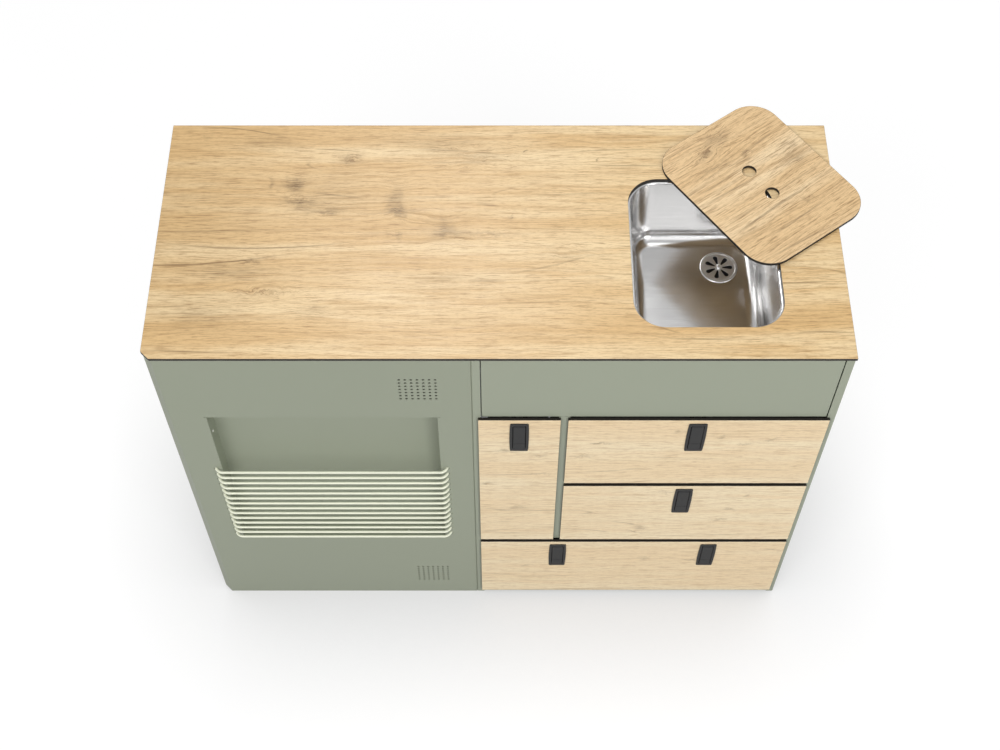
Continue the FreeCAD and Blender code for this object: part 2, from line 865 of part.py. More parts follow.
def make_latch_keepers():
    """Steel plates round the slots, which take the pull of the bolts."""
    plates = []
    for row, drawer in drawers.items():
        foot = drawer["top"] + s.fasciaGap + s.sheetGauge
        front = rail_front + s.sheetGauge
        for name, x in drawer["latches"].items():
            plate = box(name + "KeeperPlate", (x - s.keeperWidth / 2, x + s.keeperWidth / 2),
                        (front, front + s.keeperDepth),
                        (foot, foot + s.keeperGauge))
            plates.append(cut(name + "Keeper", plate, [latch_slot(name + "KeeperSlot", x, foot)]))
    return group("latch_keepers", plates)


def make_rear_rails(name, foot, stretches, holes):
    """Channels across the back, open to the front, with holes for the wall screws."""
    g = s.sheetGauge
    rails = []
    for i, (left, right) in enumerate(stretches):
        outer = box(f"{name}Block{i}", (left, right), (rear_front, inside_back),
                    (foot, foot + s.rearRailHeight))
        inner = box(f"{name}Space{i}", (left - s.cutOverrun, right + s.cutOverrun),
                    (rear_front - s.cutOverrun, inside_back - g),
                    (foot + g, foot + s.rearRailHeight - g))
        cuts = [inner]
        for x in holes:
            if number_of(left) < number_of(x) < number_of(right):
                middle = (x, foot + s.rearRailHeight / 2)
                cuts.append(cylinder(f"{name}Hole{i}", "y", rear_front, middle, s.wallHoleRadius,
                                     s.panTurn + s.cutOverrun))
        rails.append(cut(f"{name}Rail{i}", outer, cuts))
    return group(name, rails)


def make_divider():
    """A folded box between the two columns of drawers, open to the back."""
    g = s.sheetGauge
    foot = bottom_top + s.fasciaGap + s.railHeight
    outer = box("dividerBlock", (divider_left, divider_right), (carcass_front, rear_front),
                (foot, fascia_foot))
    inner = box("dividerSpace", (divider_left + g, divider_right - g),
                (inside_front, rear_front + s.cutOverrun), (foot + g, fascia_foot - g))
    return cut("divider", outer, [inner])


# Runners: three nested members at each side of a drawer

def runner_height(drawer):
    return drawer["foot"] + s.trayLift + s.runnerRise


def member_reach(inset):
    front = carcass_front + s.runnerInset
    return (front + inset, front + s.runnerLength - inset)


def make_member(name, wall, way, z, kind):
    """One member: the fixed channel, the middle one, or the drawer's own."""
    g = s.runnerGauge
    thick = s.runnerThickness
    gap = s.memberClearance
    fixed_half = s.fixedMemberHeight / 2
    mid_half = s.midMemberHeight / 2
    own_half = s.drawerMemberHeight / 2
    web = (thick - g) / 2
    if kind == "fixed":
        x, half = (0, thick - g), fixed_half
        hollows = [((g, thick), half - g)]
    elif kind == "mid":
        x, half = (g + gap, thick - g - gap), mid_half
        hollows = [((0, web), half - g), ((web + g, thick), half - g)]
    else:
        x, half = (web + g + gap, thick), own_half
        hollows = [((0, thick - g), half - g)]
    inset = s.midMemberInset if kind == "mid" else 0
    y = member_reach(inset)
    block = box(name + "Block", [wall + end * way for end in x], y, (z - half, z + half))
    spaces = []
    for i, (ends, clear) in enumerate(hollows):
        spaces.append(box(f"{name}Hollow{i}", [wall + end * way for end in ends],
                          (y[0] - s.cutOverrun, y[1] + s.cutOverrun), (z - clear, z + clear)))
    return cut(name, block, spaces)


def make_runners():
    made = []
    fixed = []
    for row, drawer in drawers.items():
        z = runner_height(drawer)
        sides = list(zip(("Left", "Right"), drawer["bay"], (1, -1)))
        for side, wall, way in sides:
            fixed.append(make_member(f"{row}Fixed{side}", wall, way, z, "fixed"))
        mids = [make_member(f"{row}Mid{side}", wall, way, z, "mid") for side, wall, way in sides]
        made.append(group(f"{row}_middle_runners", mids))
        owns = [make_member(f"{row}Own{side}", wall, way, z, "own") for side, wall, way in sides]
        made.append(group(f"{row}_drawer_runners", owns))
    made.append(group("fixed_runners", fixed))
    return made


def make_runner_brackets():
    """Channels that bring the fixed runners out to the edge of the side pans."""
    g = s.sheetGauge
    brackets = []
    for row, drawer in drawers.items():
        z = runner_height(drawer)
        half = s.bracketHeight / 2
        sides = (("Left", bay_left, inner_web, -1), ("Right", bay_right, right_web, 1))
        for side, face, web, way in sides:
            if face not in drawer["bay"]:
                continue
            y = (inside_front, rear_front)
            outer = box(f"{row}Bracket{side}Block", (web, face), y, (z - half, z + half))
            inner = box(f"{row}Bracket{side}Space", (face + g * way, web + s.cutOverrun * way),
                        (y[0] - s.cutOverrun, y[1] + s.cutOverrun), (z - half + g, z + half - g))
            brackets.append(cut(f"{row}Bracket{side}", outer, [inner]))
    return group("runner_brackets", brackets)


# Drawers

def latch_centre(drawer):
    return drawer["top"] - s.latchDrop - s.bezelHeight / 2


def make_front(row, drawer):
    """The front board, with a hole for each latch housing."""
    body = new_body(f"{row}_front")
    left, right = drawer["front"]
    foot, top = drawer["foot"], drawer["top"]
    sketch = start_sketch(body, f"{row}FrontOutline", "XZ_Plane", -carcass_front)
    draw_polygon(sketch, [(left, foot), (right, foot), (right, top), (left, top)])
    pad(body, sketch, s.boardThickness)
    sketch = start_sketch(body, f"{row}FrontHoles", "XZ_Plane", -fronts_face)
    middle = latch_centre(drawer)
    wide = s.housingWidth / 2 + s.housingFitGap
    tall = s.housingHeight / 2 + s.housingFitGap
    for x in drawer["latches"].values():
        draw_polygon(sketch, [(x - wide, middle - tall), (x + wide, middle - tall),
                              (x + wide, middle + tall), (x - wide, middle + tall)])
    pocket(body, sketch, s.boardThickness)
    return body


def latch_clearance(row, drawer):
    """Room for the latch housings in the front wall of a tray."""
    middle = latch_centre(drawer)
    wide = s.housingWidth / 2 + s.housingWall
    tall = s.housingHeight / 2 + s.housingWall
    return [
        box(f"{name}TrayHole", (x - wide, x + wide),
            (carcass_front - s.cutOverrun, carcass_front + s.cutOverrun),
            (middle - tall, middle + tall))
        for name, x in drawer["latches"].items()
    ]


def make_tray(row, drawer):
    """An open box of folded sheet between the runners, behind the front."""
    g = s.trayGauge
    x = (drawer["bay"][0] + s.runnerThickness, drawer["bay"][1] - s.runnerThickness)
    y = (carcass_front, carcass_front + s.trayDepth)
    foot = drawer["foot"] + s.trayLift
    top = drawer["top"] - s.trayHeadroom
    outer = box(f"{row}TrayBlock", x, y, (foot, top))
    in_x = (x[0] + g, x[1] - g)
    in_y = (y[0] + g, y[1] - g)
    if row == "narrow":
        shelf = foot + s.shelfRise
        window = (y[0] + s.trayPostWidth, y[1] - s.trayPostWidth)
        across = (x[0] - s.cutOverrun, x[1] + s.cutOverrun)
        cuts = [
            box("narrowLowSpace", in_x, in_y, (foot + g, shelf)),
            box("narrowHighSpace", in_x, in_y, (shelf + g, top + s.cutOverrun)),
            box("narrowLowWindow", across, window, (foot + s.narrowWallHeight, shelf)),
            box("narrowHighWindow", across, window, (shelf + s.shelfWallHeight, top + s.cutOverrun)),
        ]
    else:
        cuts = [box(f"{row}TraySpace", in_x, in_y, (foot + g, top + s.cutOverrun))]
    return cut(f"{row}_tray", outer, cuts + latch_clearance(row, drawer))


# Paddle latch, about its own middle: x to the right, y back from the front board's
# face, z up from the middle of the bezel

paddle_top = s.bezelHeight / 2 - s.paddleDrop
paddle_foot = paddle_top - s.paddleHeight
hinge_z = paddle_top - s.paddleBarrelRadius
bolt_y = hinge_back + s.boltFromHinge
rail_rise = s.latchDrop + s.bezelHeight / 2 + s.fasciaGap


def draw_bowed(sketch, width, height, bow):
    """A rectangle whose two long sides bow outwards."""
    w, h, b = number_of(width) / 2, number_of(height) / 2, number_of(bow)
    sketch.addGeometry(Part.LineSegment(Vector(-w, -h, 0), Vector(w, -h, 0)), False)
    sketch.addGeometry(Part.Arc(Vector(w, -h, 0), Vector(w + b, 0, 0), Vector(w, h, 0)), False)
    sketch.addGeometry(Part.LineSegment(Vector(w, h, 0), Vector(-w, h, 0)), False)
    sketch.addGeometry(Part.Arc(Vector(-w, h, 0), Vector(-w - b, 0, 0), Vector(-w, -h, 0)), False)
    for i in range(4):
        sketch.addConstraint(Sketcher.Constraint("Coincident", i, 2, (i + 1) % 4, 1))
    hold_point(sketch, 0, 1, -width / 2, -height / 2)
    hold_point(sketch, 0, 2, width / 2, -height / 2)
    hold_point(sketch, 2, 1, width / 2, height / 2)
    hold_point(sketch, 2, 2, -width / 2, height / 2)
    radius = (height * height / 4 + bow * bow) / (bow * 2)
    for arc in (1, 3):
        index = sketch.addConstraint(Sketcher.Constraint("Radius", arc, number_of(radius)))
        sketch.setExpression(f"Constraints[{index}]", text_of(radius))


def make_latch_housing(name):
    bezel = new_body(name + "Bezel")
    sketch = start_sketch(bezel, name + "BezelOutline", "XZ_Plane", 0)
    draw_bowed(sketch, s.bezelWidth, s.bezelHeight, s.bezelBow)
    pad(bezel, sketch, s.bezelStand)
    half_wide = s.housingWidth / 2
    half_tall = s.housingHeight / 2
    wall = s.housingWall
    gap = s.boltGuideGap
    inside = s.paddleWidth / 2 + s.paddleSideGap
    body = box(name + "Body", (-half_wide, half_wide), (0, s.housingDepth), (-half_tall, half_tall))
    low = paddle_foot - s.paddleEndGap
    high = paddle_top + s.paddleEndGap
    space = box(name + "Space", (-inside, inside), (-s.cutOverrun, s.housingDepth - wall),
                (low, high))
    bolt_half = s.boltWidth / 2 + gap
    bolt_way = (bolt_y - gap, bolt_y + s.boltThickness + gap)
    exit_slot = box(name + "Exit", (-bolt_half, bolt_half), bolt_way,
                    (high - s.cutOverrun, rail_rise))
    pin_fit = round_hole_radius(s.pinRadius + s.pinClearance, pin_hole_sides)
    pin_hole = prism(name + "PinHole", "x", -half_wide - wall, (hinge_back, hinge_z),
                     pin_fit, s.housingWidth + wall * 2, pin_hole_sides)
    shell = cut(name + "Shell", fuse(name + "Block", [bezel, body]), [space, exit_slot, pin_hole])
    guide_foot, guide_top = s.guideRise, s.guideRise + s.guideHeight
    guide_block = box(name + "GuideBlock", (-bolt_half - wall, bolt_half + wall),
                      (bolt_way[0] - wall, s.housingDepth - wall), (guide_foot, guide_top))
    guide_slot = box(name + "GuideSlot", (-bolt_half, bolt_half), bolt_way,
                     (guide_foot - s.cutOverrun, guide_top + s.cutOverrun))
    guide = cut(name + "Guide", guide_block, [guide_slot])
    return fuse(name, [shell, guide])


def make_paddle(name):
    half = s.paddleWidth / 2
    plate = box(name + "Plate", (-half, half), (-s.paddleStand, s.paddleThickness - s.paddleStand),
                (paddle_foot, hinge_z))
    barrel = cylinder(name + "Barrel", "x", -half, (hinge_back, hinge_z), s.paddleBarrelRadius,
                      s.paddleWidth)
    arm = box(name + "Arm", (-s.armWidth / 2, s.armWidth / 2), (hinge_back, hinge_back + s.armLength),
              (hinge_z - s.armThickness / 2, hinge_z + s.armThickness / 2))
    bore = cylinder(name + "Bore", "x", -half - s.cutOverrun, (hinge_back, hinge_z),
                    s.pinRadius + s.pinClearance, s.paddleWidth + s.cutOverrun * 2)
    return cut(name, fuse(name + "Lever", [plate, barrel, arm]), [bore])


def make_bolt(name):
    half = s.boltWidth / 2
    y = (bolt_y, bolt_y + s.boltThickness)
    tip = rail_rise - s.boltTipGap
    bar = box(name + "Bar", (-half, half), y, (-s.boltTail, tip))
    window = box(name + "Window", (-s.boltWindowWidth / 2, s.boltWindowWidth / 2),
                 (y[0] - s.cutOverrun, y[1] + s.cutOverrun),
                 (hinge_z - s.boltWindowHeight / 2, hinge_z + s.boltWindowHeight / 2))
    return cut(name, bar, [window])


def make_pin(name):
    half = s.housingWidth / 2
    return cylinder(name, "x", -half, (hinge_back, hinge_z), s.pinRadius, s.housingWidth)


def place_latch(piece, x, z):
    """Moves a piece of a latch from its own middle to its place in a front."""
    holder = doc.addObject("Part::Compound", piece.Name + "Placed")
    holder.Links = [piece]
    for way, place in zip("xyz", (x, fronts_face, z)):
        bind(holder, f"Placement.Base.{way}", place)
    return holder


def make_latches(row, drawer):
    """A latch for each place: housing and pin belong to the drawer, paddle and bolt move."""
    made = []
    z = latch_centre(drawer)
    housings = []
    pins = []
    for name, x in drawer["latches"].items():
        housings.append(place_latch(make_latch_housing(name + "Housing"), x, z))
        pins.append(place_latch(make_pin(name + "Pin"), x, z))
        for kind, maker in (("latch_paddle", make_paddle), ("latch_bolt", make_bolt)):
            made.append(group(f"{name}_{kind}", [place_latch(maker(f"{name}_{kind}_blank"), x, z)]))
    made.append(group(f"{row}_latch_housing", housings))
    made.append(group(f"{row}_latch_pin", pins))
    return made


def make_drawers():
    made = []
    for row, drawer in drawers.items():
        made.append(make_front(row, drawer))
        made.append(make_tray(row, drawer))
        made.extend(make_latches(row, drawer))
    return made


# Sink: a drawn steel bowl under the cut-out, held by clips

def bowl_outline(half_x, half_y, radius):
    """A rectangle whose corners are rounded by chords."""
    points = []
    for quarter, (side_x, side_y) in enumerate(((1, 1), (-1, 1), (-1, -1), (1, -1))):
        for i in range(corner_chords + 1):
            angle = math.pi / 2 * (quarter + i / corner_chords)
            points.append((sink_x + (half_x - radius) * side_x + radius * math.cos(angle),
                           sink_y + (half_y - radius) * side_y + radius * math.sin(angle)))
    return points


def make_bowl_form(name, grow):
    """The bowl as a solid: tapered walls that run through a round into the floor."""
    body = new_body(name)
    half_x = s.sinkWidth / 2 - s.sinkLedge + grow
    half_y = s.sinkLength / 2 - s.sinkLedge + grow
    corner = s.sinkCorner - s.sinkLedge + grow
    floor_round = s.bowlFloorRadius + grow
    floor = bowl_floor - grow
    levels = [(carcass_top, 0)]
    for i in range(floor_chords + 1):
        angle = math.pi / 2 * i / floor_chords
        levels.append((floor + floor_round * (1 - math.sin(angle)),
                       s.bowlDraft + floor_round * (1 - math.cos(angle))))
    sketches = []
    for i, (z, inset) in enumerate(levels):
        sketch = start_sketch(body, f"{name}Level{i}", "XY_Plane", z)
        draw_polygon(sketch, bowl_outline(half_x - inset, half_y - inset, corner - inset))
        sketches.append(sketch)
    loft = body.newObject("PartDesign::AdditiveLoft", name + "Loft")
    loft.Profile = sketches[0]
    loft.Sections = sketches[1:]
    loft.Ruled = True
    doc.recompute()
    return body


def make_sink_bowl():
    outer = make_bowl_form("bowlOutside", s.sinkGauge)
    inner = make_bowl_form("bowlInside", 0)
    flange = new_body("bowlFlange")
    sketch = start_sketch(flange, "bowlFlangeOutline", "XY_Plane", carcass_top)
    reach_x = s.sinkWidth / 2 + s.sinkFlange
    reach_y = s.sinkLength / 2 + s.sinkFlange
    draw_rounded(sketch, (sink_x - reach_x, sink_x + reach_x), (sink_y - reach_y, sink_y + reach_y),
                 s.sinkCorner + s.sinkFlange)
    pad(flange, sketch, s.sinkGauge, reverse=True)
    hole = prism("bowlDrainHole", "z", bowl_floor - s.sinkGauge - s.cutOverrun, (drain_x, drain_y),
                 s.cupRadius + s.cupWall + s.drainHoleGap, s.sinkGauge + s.cutOverrun * 2, cup_sides)
    return cut("sink_bowl", fuse("bowlSheet", [outer, flange]), [inner, hole])


def make_sink_clips():
    """Cranked clips and their screws, which pull the flange up to the worktop."""
    clips = []
    reach_x = s.sinkWidth / 2 + s.sinkFlange
    reach_y = s.sinkLength / 2 + s.sinkFlange
    under = carcass_top - s.sinkGauge
    g = s.sheetGauge
    half = s.clipWidth / 2
    places = []
    for side in (-1, 1):
        for share in clip_place_shares:
            places.append(("x", sink_x + reach_x * side, side, sink_y + s.sinkLength * share))
        places.append(("y", sink_y + reach_y * side, side, sink_x))
    for i, (way, edge, side, along) in enumerate(places):
        spread = (along - half, along + half)
        lap = edge - s.clipLap * side
        tail = edge + (s.clipLap + s.clipFoot) * side
        foot = tail - s.clipFoot * side

        def block(name, ends, z):
            return box(name, ends, spread, z) if way == "x" else box(name, spread, ends, z)

        strip = block(f"clip{i}Strip", (lap, tail), (under - g, under))
        heel = block(f"clip{i}Heel", (foot, tail), (under, carcass_top))
        middle = edge + s.clipLap / 2 * side
        centre = (middle, along) if way == "x" else (along, middle)
        head = prism(f"clip{i}Screw", "z", under - g - s.clipScrewHead, centre,
                     s.clipScrewRadius, s.clipScrewHead, screw_sides)
        shank = prism(f"clip{i}Shank", "z", under, centre, s.clipScrewRadius / 2, s.sinkGauge,
                      screw_sides)
        clips.append(fuse(f"clip{i}", [strip, heel, head, shank]))
    return group("sink_clips", clips)


# Waste: body with a side spigot, clamping nut and lift-out strainer

def make_drain_body():
    centre = (drain_x, drain_y)
    outer = s.cupRadius + s.cupWall
    foot = bowl_floor - s.cupDepth
    ring = cylinder("drainRing", "z", bowl_floor, centre, s.drainRingRadius, s.drainRingHeight)
    cup = prism("drainCup", "z", foot, centre, outer, s.cupDepth, cup_sides)
    spigot_z = foot + s.spigotRadius + s.spigotLift
    spigot = cylinder("drainSpigot", "y", drain_y, (drain_x, spigot_z), s.spigotRadius,
                      outer + s.spigotLength)
    shoulder = cylinder("drainShoulder", "y", drain_y, (drain_x, spigot_z), s.shoulderRadius,
                        outer + s.shoulderLength)
    bore = prism("drainBore", "z", foot + s.cupWall, centre, s.cupRadius, s.cupDepth, cup_sides)
    seat = cylinder("drainSeat", "z", bowl_floor, centre, s.strainerRadius + s.strainerGap,
                    s.drainRingHeight + s.cutOverrun)
    spigot_bore = cylinder("drainSpigotBore", "y", drain_y, (drain_x, spigot_z),
                           s.spigotRadius - s.spigotWall, outer + s.spigotLength + s.cutOverrun)
    casting = fuse("drainCasting", [ring, cup, spigot, shoulder])
    return cut("drain_body", casting, [bore, seat, spigot_bore])


def make_drain_nut():
    top = bowl_floor - s.sinkGauge
    foot = top - s.nutHeight
    centre = (drain_x, drain_y)
    ring = prism("nutRing", "z", foot, centre, s.nutRadius, s.nutHeight, cup_sides)
    start, length = foot - s.cutOverrun, s.nutHeight + s.cutOverrun * 2
    bore_radius = s.cupRadius + s.cupWall + s.drainHoleGap
    cuts = [prism("nutBore", "z", start, centre, bore_radius, length, cup_sides)]
    reach = s.nutRadius + s.nutGripRadius / 2
    for i, place in enumerate(ring_points(drain_x, drain_y, reach, grip_count)):
        cuts.append(prism(f"nutGrip{i}", "z", start, place, s.nutGripRadius, length, grip_sides))
    return cut("drain_nut", ring, cuts)


def make_strainer():
    """A lift-out disc with teardrop slots round a finger knob."""
    body = new_body("drain_strainer")
    sketch = start_sketch(body, "strainerDisc", "XY_Plane", 0)
    draw_circle(sketch, 0, 0, s.strainerRadius)
    pad(body, sketch, s.strainerThickness)
    sketch = start_sketch(body, "strainerKnob", "XY_Plane", s.strainerThickness)
    draw_circle(sketch, 0, 0, s.strainerKnobRadius)
    pad(body, sketch, s.strainerKnobHeight)
    sketch = start_sketch(body, "strainerSlot", "XY_Plane", s.strainerThickness)
    draw_teardrop(sketch, s.slotInnerRadius, s.slotOuterRadius, s.slotTipRadius, s.slotEndRadius)
    feature = pocket(body, sketch, s.strainerThickness)
    pattern = body.newObject("PartDesign::PolarPattern", "strainerSlots")
    pattern.Originals = [feature]
    pattern.Axis = (sketch, ["N_Axis"])
    pattern.Angle = 360
    pattern.Occurrences = slot_count
    body.Tip = pattern
    for way, place in zip("xyz", (drain_x, drain_y, bowl_floor)):
        bind(body, f"Placement.Base.{way}", place)
    doc.recompute()
    return body


def draw_teardrop(sketch, inner, outer, tip, end):
    """A slot along x with a small round tip near the middle and a wider round end."""
    lean = math.pi - math.acos((end.number - tip.number) / (outer.number - inner.number))
    points = []
    for centre, radius, first, last, chords in (
        (outer, end, -lean, lean, slot_end_chords),
        (inner, tip, lean, math.tau - lean, slot_tip_chords),
    ):
        for i in range(chords + 1):
            angle = first + (last - first) * i / chords
            points.append((centre + radius * math.cos(angle), radius * math.sin(angle)))
    draw_polygon(sketch, points)


# Lid of the sink, lying askew on the worktop where it was put down

def make_lid():
    body = new_body("sink_lid")
    half_x = s.sinkWidth / 2 - s.lidFitGap
    half_y = s.sinkLength / 2 - s.lidEndGap
    sketch = start_sketch(body, "lidOutline", "XY_Plane", 0)
    draw_rounded(sketch, (-half_x, half_x), (-half_y, half_y), s.sinkCorner - s.lidFitGap)
    pad(body, sketch, s.boardThickness)
    sketch = start_sketch(body, "lidFingerHoles", "XY_Plane", s.boardThickness)
    for side in (-1, 1):
        draw_circle(sketch, 0, s.fingerHoleSpacing / 2 * side, s.fingerHoleRadius)
    pocket(body, sketch, s.boardThickness)
    body.Placement = Placement(Vector(0, 0, 0), Rotation(Vector(0, 0, 1), lid_turn))
    places = (sink_x + s.lidShiftX, sink_y + s.lidShiftY, s.unitHeight)
    for way, place in zip("xyz", places):
        bind(body, f"Placement.Base.{way}", place)
    doc.recompute()
    return body


# Every sub-part, by its label

left_stretch = (unit_left + s.sheetGauge, seam)
right_stretch = (inner_web, right_web)
wall_holes = (-s.wallHoleSpacing / 2, s.wallHoleSpacing / 2)

parts = [
    make_worktop(),
    make_left_cover(),
    make_left_base(),
    make_recess_tray(),
    make_rack_rods(),
    make_tray_rivets(),
    make_side_pan("inner_side_panel", seam, 1),
    make_side_pan("right_side_panel", unit_right, -1),
    make_right_base(),
    make_fascia(),
    make_fascia_flanges(),
    make_front_rail("upper_rail", divider_right, right_web, middle_top + s.fasciaGap, ["middle"]),
    make_front_rail("lower_rail", inner_web, right_web, bottom_top + s.fasciaGap, ["bottom"]),
    make_latch_keepers(),
    make_divider(),
    make_rear_rails("rear_top_rails", carcass_top - s.sheetGauge - s.rearRailHeight,
                    [left_stretch, right_stretch], wall_holes),
    make_rear_rails("rear_middle_rail", bottom_top, [right_stretch], ()),
    make_rear_rails("rear_bottom_rails", s.baseTurn, [left_stretch, right_stretch], wall_holes),
    make_runner_brackets(),
    *make_runners(),
    *make_drawers(),
    make_sink_bowl(),
    make_sink_clips(),
    make_drain_body(),
    make_drain_nut(),
    make_strainer(),
    make_lid(),
]
doc.recompute()

for piece in doc.Objects:
    if any(state in piece.State for state in ("Invalid", "Error")):
        raise RuntimeError(f"{piece.Name} failed: {piece.State}")
for piece in parts:
    piece.Label = piece.Name
    if piece.Shape.isNull() or not piece.Shape.isValid():
        raise RuntimeError(f"{piece.Name} has no valid shape")

os.makedirs("parts", exist_ok=True)
for piece in parts:
    piece.Shape.exportStep(f"parts/{piece.Label}.step")
    print(piece.Label, len(piece.Shape.Solids), round(piece.Shape.Volume))
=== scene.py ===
import math
from functools import partial

import bmesh
import bpy
from mathutils import Matrix, Vector


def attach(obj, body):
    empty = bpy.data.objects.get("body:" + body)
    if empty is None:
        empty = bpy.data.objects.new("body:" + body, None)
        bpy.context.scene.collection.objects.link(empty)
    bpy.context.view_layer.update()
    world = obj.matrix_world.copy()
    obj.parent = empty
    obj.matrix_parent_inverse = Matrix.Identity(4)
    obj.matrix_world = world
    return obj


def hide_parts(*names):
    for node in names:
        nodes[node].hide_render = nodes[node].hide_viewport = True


# A van kitchen block seen from above and in front: wood laminate top and fronts,
# sage powder-coated steel, a brushed sink with a loose lid and a rack of rods.
# Lengths are written in millimetres and turned into metres where a mesh is made.

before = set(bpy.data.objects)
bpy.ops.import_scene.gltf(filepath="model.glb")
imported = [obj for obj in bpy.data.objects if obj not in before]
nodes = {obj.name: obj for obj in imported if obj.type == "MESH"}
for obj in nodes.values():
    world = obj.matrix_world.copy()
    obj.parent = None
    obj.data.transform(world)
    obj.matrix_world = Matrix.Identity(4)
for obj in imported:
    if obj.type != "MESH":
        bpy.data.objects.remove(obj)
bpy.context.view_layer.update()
mm = 0.001
unit = {"left": -600, "right": 600, "front": -250, "back": 250, "top": 950, "board": 6, "gauge": 1.5}
sheetTop = unit["top"] - unit["board"]  # the worktop rests on the steel at this height


# outlines, in millimetres

def arcPoints(centre, radius, first, last, steps):
    span = [first + (last - first) * i / steps for i in range(steps + 1)]
    return [(centre[0] + radius * math.cos(a), centre[1] + radius * math.sin(a)) for a in span]


def cornerArc(before, corner, after, radius):
    # centre, first and last angle of the arc that rounds a corner
    here = Vector(corner)
    before = (Vector(before) - here).normalized()
    after = (Vector(after) - here).normalized()
    half = before.angle(after) / 2
    centre = here + (before + after).normalized() * radius / math.sin(half)
    start = here + before * radius / math.tan(half) - centre
    end = here + after * radius / math.tan(half) - centre
    first = math.atan2(start.y, start.x)
    turn = (math.atan2(end.y, end.x) - first + math.pi) % math.tau - math.pi
    return centre, first, first + turn


def roundedRing(corners, steps=6):
    ring = []  # corners are x, y and radius
    for i, (x, y, radius) in enumerate(corners):
        if radius == 0:
            ring.append((x, y))
            continue
        after = corners[(i + 1) % len(corners)][:2]
        centre, first, last = cornerArc(corners[i - 1][:2], (x, y), after, radius)
        ring += arcPoints(centre, radius, first, last, steps)
    return ring


def boxRing(x0, x1, y0, y1, radius=0, steps=6):
    return roundedRing([(x1, y0, radius), (x1, y1, radius), (x0, y1, radius), (x0, y0, radius)], steps)


def circleRing(x, y, radius, steps=32):
    return arcPoints((x, y), radius, 0, math.tau * (steps - 1) / steps, steps - 1)


def hole(ring):
    return list(reversed(ring))


def quarterTurn(steps):
    # how far in and how far up a quarter round has come, as shares of its radius
    turns = [math.pi / 2 * i / steps for i in range(steps + 1)]
    return [(1 - math.sin(a), 1 - math.cos(a)) for a in turns]


def offsetRing(ring, inset):
    moved = []
    for i, point in enumerate(ring):
        here = Vector(point)
        before = (here - Vector(ring[i - 1])).normalized()
        after = (Vector(ring[(i + 1) % len(ring)]) - here).normalized()
        side = Vector((-before.y, before.x))
        middle = (side + Vector((-after.y, after.x))).normalized()
        share = max(middle.dot(side), 0.3)  # a sharp corner moves no further than this lets it
        moved.append(tuple(here + middle * inset / share))
    return moved


# solids, each added to a bmesh in metres

def frontPlane(x=0, y=0, z=0):
    # outline x and y become x and z, and height comes forward out of the front
    return Matrix.Translation((x, y, z)) @ Matrix.Rotation(math.pi / 2, 4, "X")


def addLoop(shape, ring, z, place):
    return [shape.verts.new((place @ Vector((x, y, z))) * mm) for x, y in ring]


def addBand(shape, low, high, finish=0):
    count = len(low)
    for i in range(count):
        j = (i + 1) % count
        face = shape.faces.new((low[i], low[j], high[j], high[i]))
        face.material_index = finish


def addBands(shape, loops, finish=0):
    for low, high in zip(loops, loops[1:]):
        addBand(shape, low, high, finish)


def addCap(shape, loops):
    edges = []
    for loop in loops:
        for i, vert in enumerate(loop):
            following = loop[(i + 1) % len(loop)]
            edges.append(shape.edges.get((vert, following)))
    bmesh.ops.triangle_fill(shape, use_beauty=True, use_dissolve=False, edges=edges)


def addPlate(shape, rings, low, high, edge, steps, place=Matrix(), edgeFinish=0):
    levels = [(low, 0), (high, 0)]
    if edge:
        rise = [(edge * up, edge * across) for across, up in quarterTurn(steps)]
        levels = [(low + up, inset) for up, inset in rise]
        levels += [(high - up, inset) for up, inset in reversed(rise)]
    bottoms, tops = [], []
    for ring in rings:
        loops = [addLoop(shape, offsetRing(ring, inset), z, place) for z, inset in levels]
        addBands(shape, loops, edgeFinish)
        bottoms.append(loops[0])
        tops.append(loops[-1])
    addCap(shape, bottoms)
    addCap(shape, tops)


def addLathe(shape, profile, sides, place, closed=False):
    loops = []
    for radius, z in profile:
        if radius == 0:
            loops.append([shape.verts.new((place @ Vector((0, 0, z))) * mm)])
        else:
            loops.append(addLoop(shape, circleRing(0, 0, radius, sides), z, place))
    pairs = list(zip(loops, loops[1:])) + ([(loops[-1], loops[0])] if closed else [])
    for low, high in pairs:
        if len(low) == 1 or len(high) == 1:
            ring, tip = (high, low[0]) if len(low) == 1 else (low, high[0])
            for i, vert in enumerate(ring):
                shape.faces.new((vert, ring[(i + 1) % sides], tip))
        else:
            addBand(shape, low, high)


def addTube(shape, path, radius, sides):
    points = [Vector(point) for point in path]
    loops = []
    for i, point in enumerate(points):
        ahead = (points[min(i + 1, len(points) - 1)] - points[max(i - 1, 0)]).normalized()
        across = ahead.cross(Vector((0, 0, 1))).normalized()
        up = across.cross(ahead)
        turns = [math.tau * k / sides for k in range(sides)]
        loops.append([shape.verts.new((point + (across * math.cos(a) + up * math.sin(a)) * radius) * mm)
                      for a in turns])
    addBands(shape, loops)
    shape.faces.new(loops[0])
    shape.faces.new(loops[-1])


def addBlock(shape, x, y, z, edge, place):
    addPlate(shape, [boxRing(*x, *y)], *z, edge, 2, place)


def addObject(name, data):
    added = bpy.data.objects.new(name, data)
    bpy.context.scene.collection.objects.link(added)
    return added


def meshFrom(shape, name):
    bmesh.ops.recalc_face_normals(shape, faces=shape.faces)
    mesh = bpy.data.meshes.new(name)
    shape.to_mesh(mesh)
    shape.free()
    return mesh


def finishPiece(name, shape, materials, body, replaced):
    piece = addObject(name, meshFrom(shape, name))
    for material in materials:
        piece.data.materials.append(material)
    smoothPiece(piece)
    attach(piece, body)
    if replaced:
        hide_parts(*replaced)
    return piece


def smoothPiece(piece):
    sharpAngle = math.radians(50)
    piece.data.shade_smooth()
    piece.data.set_sharp_from_angle(angle=sharpAngle)
    weights = piece.modifiers.new("flatFaces", "WEIGHTED_NORMAL")
    weights.keep_sharp = True


